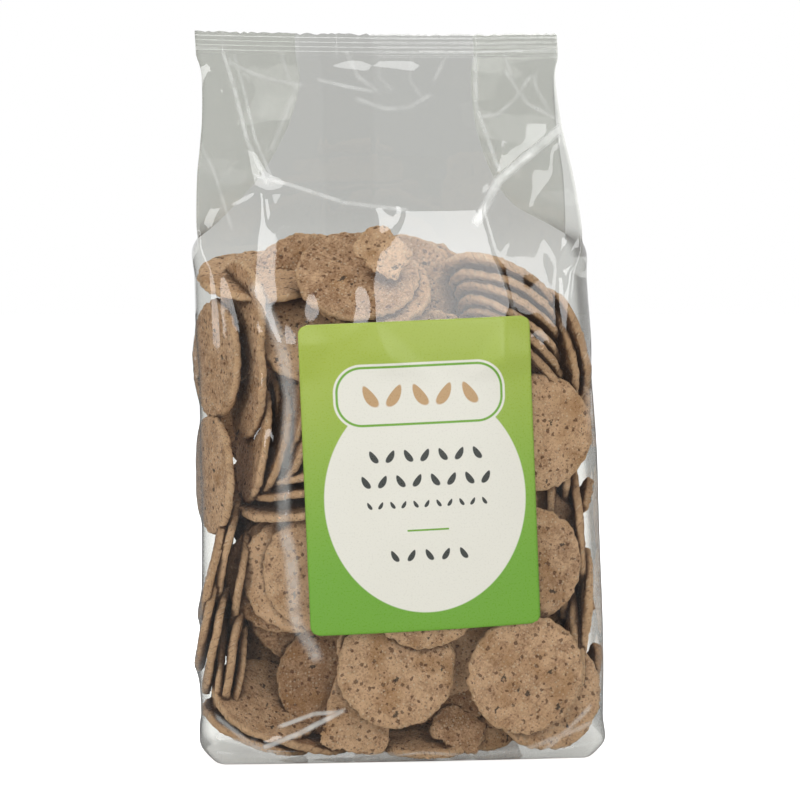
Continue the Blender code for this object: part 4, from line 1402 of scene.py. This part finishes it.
inks = {
    "lime": (0.37, 0.465, 0.07, 1),
    "leafGreen": (0.165, 0.38, 0.042, 1),
    "pale": (0.50, 0.60, 0.25, 1),
    "cream": (0.75, 0.735, 0.655, 1),
    "darkInk": (0.055, 0.06, 0.055, 1),
    "tan": (0.50, 0.32, 0.16, 1),
    "disc": (1.6, -8.8, 38.6, 43.2),        # middle and half sizes
    "plaque": (0.8, 31.0, 31.0, 10.5, 9.0),  # middle, half sizes and corner
    "rimWidth": 0.9,
    "labelHighlight": (34, 22, 44, 52, 30),            # a painted highlight: middle, half sizes and softness
    "labelHighlightShare": 0.06,
    "dash": (2.0, -20.5, 8.0, 0.35, 0.3, 0.12),
    # rows of seeds: middle, height, count, pitch, half length and width of a seed, ink
    "seeds": (
        (0.8, 31.0, 5, 9.5, 4.2, 2.3, "tan"),
        (2.0, 8.0, 7, 6.6, 2.4, 1.35, "darkInk"),
        (2.0, -1.5, 8, 6.6, 2.4, 1.35, "darkInk"),
        (2.0, -10.5, 11, 4.4, 1.4, 0.75, "darkInk"),
        (2.0, -30.0, 5, 6.6, 2.2, 1.2, "darkInk"),
    ),
    "waves": (0.10, 0.6, 0.3, 0.0005),
}


def ellipseMask(tree, x, y, middleX, middleY, halfX, halfY, soft=0.25):
    dx = doMath(tree, "DIVIDE", minus(tree, x, middleX), halfX)
    dy = doMath(tree, "DIVIDE", minus(tree, y, middleY), halfY)
    far = lengthOf(tree, dx, dy)
    edge = soft / min(halfX, halfY)
    return mapRange(tree, far, 1 - edge, 1 + edge, 1, 0)


def roundBoxMask(tree, x, y, middleX, middleY, halfX, halfY, corner, soft=0.2):
    dx = minus(tree, doMath(tree, "ABSOLUTE", minus(tree, x, middleX)), halfX - corner)
    dy = minus(tree, doMath(tree, "ABSOLUTE", minus(tree, y, middleY)), halfY - corner)
    far = lengthOf(tree, doMath(tree, "MAXIMUM", dx, 0), doMath(tree, "MAXIMUM", dy, 0))
    return mapRange(tree, far, corner - soft, corner + soft, 1, 0)


def seedRow(tree, x, y, middleX, rowY, count, pitch, halfLong, halfWide):
    # A row of drawn sesame seeds, each a pointed oval that leans by turns to either side.
    place = doMath(tree, "DIVIDE", minus(tree, x, middleX - pitch * count / 2), pitch)
    number = doMath(tree, "FLOOR", place)
    local = times(tree, minus(tree, minus(tree, place, number), 0.5), pitch)
    tilt = doMath(tree, "MULTIPLY_ADD", doMath(tree, "MODULO", number, 2), 1.0, -0.5)
    down = minus(tree, y, rowY)
    slanted = minus(tree, local, times(tree, down, tilt))
    shareY = doMath(tree, "DIVIDE", down, halfLong)
    wide = doMath(tree, "MULTIPLY_ADD", shareY, -0.35, 1.0)
    dx = doMath(tree, "DIVIDE", slanted, times(tree, wide, halfWide))
    mask = mapRange(tree, lengthOf(tree, dx, shareY), 0.88, 1.06, 1, 0)
    inRow = times(tree, doMath(tree, "GREATER_THAN", place, 0), doMath(tree, "LESS_THAN", place, count))
    return times(tree, mask, inRow)


def labelMaterial(waves):
    made, tree = newMaterial("printed_label")
    place = attribute(tree, "printPlace", "Vector")
    x, y, _ = addNode(tree, "ShaderNodeSeparateXYZ", {0: place}).outputs
    slope = plus(tree, y, times(tree, x, -0.1))
    colour = mixColour(tree, mapRange(tree, slope, -42, 62), inks["leafGreen"], inks["lime"])
    # Painted highlight: the print is paler towards its upper right.
    labelHighlight = ellipseMask(tree, x, y, *inks["labelHighlight"])
    colour = mixColour(tree, times(tree, labelHighlight, inks["labelHighlightShare"]), colour, inks["pale"])
    colour = mixColour(tree, ellipseMask(tree, x, y, *inks["disc"]), colour, inks["cream"])
    middleX, middleY, halfX, halfY, corner = inks["plaque"]
    for rims, ink in ((2, "cream"), (1, "leafGreen"), (0, "cream")):
        past = rims * inks["rimWidth"]
        mask = roundBoxMask(tree, x, y, middleX, middleY, halfX + past, halfY + past, corner + past)
        colour = mixColour(tree, mask, colour, inks[ink])
    for *row, ink in inks["seeds"]:
        colour = mixColour(tree, seedRow(tree, x, y, *row), colour, inks[ink])
    colour = mixColour(tree, roundBoxMask(tree, x, y, *inks["dash"]), colour, inks["leafGreen"])
    fibre = noiseTexture(tree, {"Vector": place, "Scale": 1.4, "Detail": 3})
    worn = mapRange(tree, fibre, 0.3, 0.75, 0.26, 0.36)
    shader = addNode(tree, "ShaderNodeBsdfPrincipled", {
        "Base Color": colour, "Roughness": worn, "Specular IOR Level": 0.45,
        "Normal": wavyBump(tree, waves, *inks["waves"]),
    })
    addNode(tree, "ShaderNodeOutputMaterial", {"Surface": shader.outputs[0]})
    return made


# Studio: floor, lights and camera

studio = {
    "floorRadius": 5.0,
    "floorSides": 96,
    "floorHeight": -0.0002,
    "floorWhites": ((0.90, 0.90, 0.89, 1), (0.93, 0.93, 0.92, 1)),
    "floorMirrored": (0.16, 0.16, 0.16, 1),
    "world": 0.27,
    "worldSeen": 1.0,
    "glossBehind": 0.75,
    "glossInFront": 0.08,
    "glossBlend": (-0.25, 0.45),
    "floorGlow": 0.8,
    # name, place, size, radiance
    "lights": (
        ("left_front_softbox", (-0.38, -1.40, 0.58), (0.26, 1.05), 4.3),
        ("right_front_softbox", (0.33, -1.45, 0.42), (0.48, 0.54), 4.1),
        ("left_softbox", (-1.25, -0.75, 0.50), (0.5, 0.9), 3.5),
        ("right_softbox", (1.15, -1.00, 0.62), (0.4, 0.8), 2.9),
        ("top_softbox", (0.0, -0.15, 1.35), (1.1, 0.7), 3.1),
        ("back_softbox", (0.0, 1.15, 1.15), (1.4, 0.6), 2.4),
    ),
    "aim": (0.0, 0.0, 0.145),
    "camera": {
        "azimuth": -5.0, "elevation": 4.0, "distance": 0.95, "aim": (0.44, 0.0, 138.6),
        "pixels": 800, "pixelsPerMm": 2.55, "sensor": 36,
    },
}


def makeStudio():
    scene = bpy.context.scene
    floorMaterial, tree = newMaterial("pale_floor")
    speckle = noiseTexture(tree, {"Scale": 3.0, "Detail": 2})
    white = mixColour(tree, speckle, *studio["floorWhites"])
    path = addNode(tree, "ShaderNodeLightPath").outputs
    shade = mixColour(tree, path["Is Glossy Ray"], white, studio["floorMirrored"])
    shader = addNode(tree, "ShaderNodeBsdfPrincipled", {
        "Base Color": shade, "Roughness": 0.9, "Specular IOR Level": 0.1, "Emission Color": (1, 1, 1, 1),
        "Emission Strength": times(tree, path["Is Camera Ray"], studio["floorGlow"]),
    })
    addNode(tree, "ShaderNodeOutputMaterial", {"Surface": shader.outputs[0]})
    points = circle(studio["floorSides"]) * studio["floorRadius"]
    points[:, 2] = studio["floorHeight"]
    floor = addPiece("floor", points, [list(range(len(points)))], floorMaterial)

    world = bpy.data.worlds.new("soft_white")
    world.use_nodes = True
    tree = world.node_tree
    tree.nodes.clear()
    path = addNode(tree, "ShaderNodeLightPath").outputs
    direction = addNode(tree, "ShaderNodeTexCoord").outputs["Generated"]
    backward = addNode(tree, "ShaderNodeSeparateXYZ", {0: direction}).outputs[1]
    inGloss = mapRange(tree, backward, *studio["glossBlend"], studio["glossInFront"], studio["glossBehind"])
    inputs = {0: path["Is Glossy Ray"], 2: studio["world"], 3: inGloss}
    strength = addNode(tree, "ShaderNodeMix", inputs).outputs[0]
    more = times(tree, path["Is Camera Ray"], studio["worldSeen"] - studio["world"])
    strength = plus(tree, strength, more)
    sky = addNode(tree, "ShaderNodeBackground", {"Color": (1, 1, 1, 1), "Strength": strength})
    addNode(tree, "ShaderNodeOutputWorld", {"Surface": sky.outputs[0]})
    scene.world = world

    aim = Vector(studio["aim"])
    for name, place, size, radiance in studio["lights"]:
        data = bpy.data.lights.new(name, "AREA")
        data.shape = "RECTANGLE"
        data.size, data.size_y = size
        data.energy = radiance * math.pi * size[0] * size[1]
        light = bpy.data.objects.new(name, data)
        light.location = place
        light.rotation_euler = (aim - Vector(place)).to_track_quat("-Z", "Y").to_euler()
        scene.collection.objects.link(light)

    shot = studio["camera"]
    azimuth, elevation = math.radians(shot["azimuth"]), math.radians(shot["elevation"])
    level = math.cos(elevation)
    back = Vector((math.sin(azimuth) * level, -math.cos(azimuth) * level, math.sin(elevation)))
    data = bpy.data.cameras.new("camera")
    data.sensor_width = shot["sensor"]
    data.lens = shot["sensor"] * shot["distance"] / (shot["pixels"] / shot["pixelsPerMm"] * mm)
    camera = bpy.data.objects.new("camera", data)
    camera.location = Vector(shot["aim"]) * mm + back * shot["distance"]
    camera.rotation_euler = (-back).to_track_quat("-Z", "Y").to_euler()
    scene.collection.objects.link(camera)
    scene.camera = camera
    scene.view_settings.view_transform = "Standard"
    scene.view_settings.look = "None"
    scene.cycles.transparent_max_bounces = 24
    print("studio ready")


makeStudio()
doughSurface = doughMaterial()
waves = filmWaves()
heap = Heap()
shownCrackers(heap)
backCrackers(heap)
layerCrackers(heap)
fillingCrackers(heap)
hitTree = makeCrackers(list(zip(heap.matrices, heap.kinds)), doughSurface)
skin = makeFilm(hitTree, filmMaterial(waves))
print("film made")
makeLabel(skin, labelMaterial(waves))

bpy.context.view_layer.update()
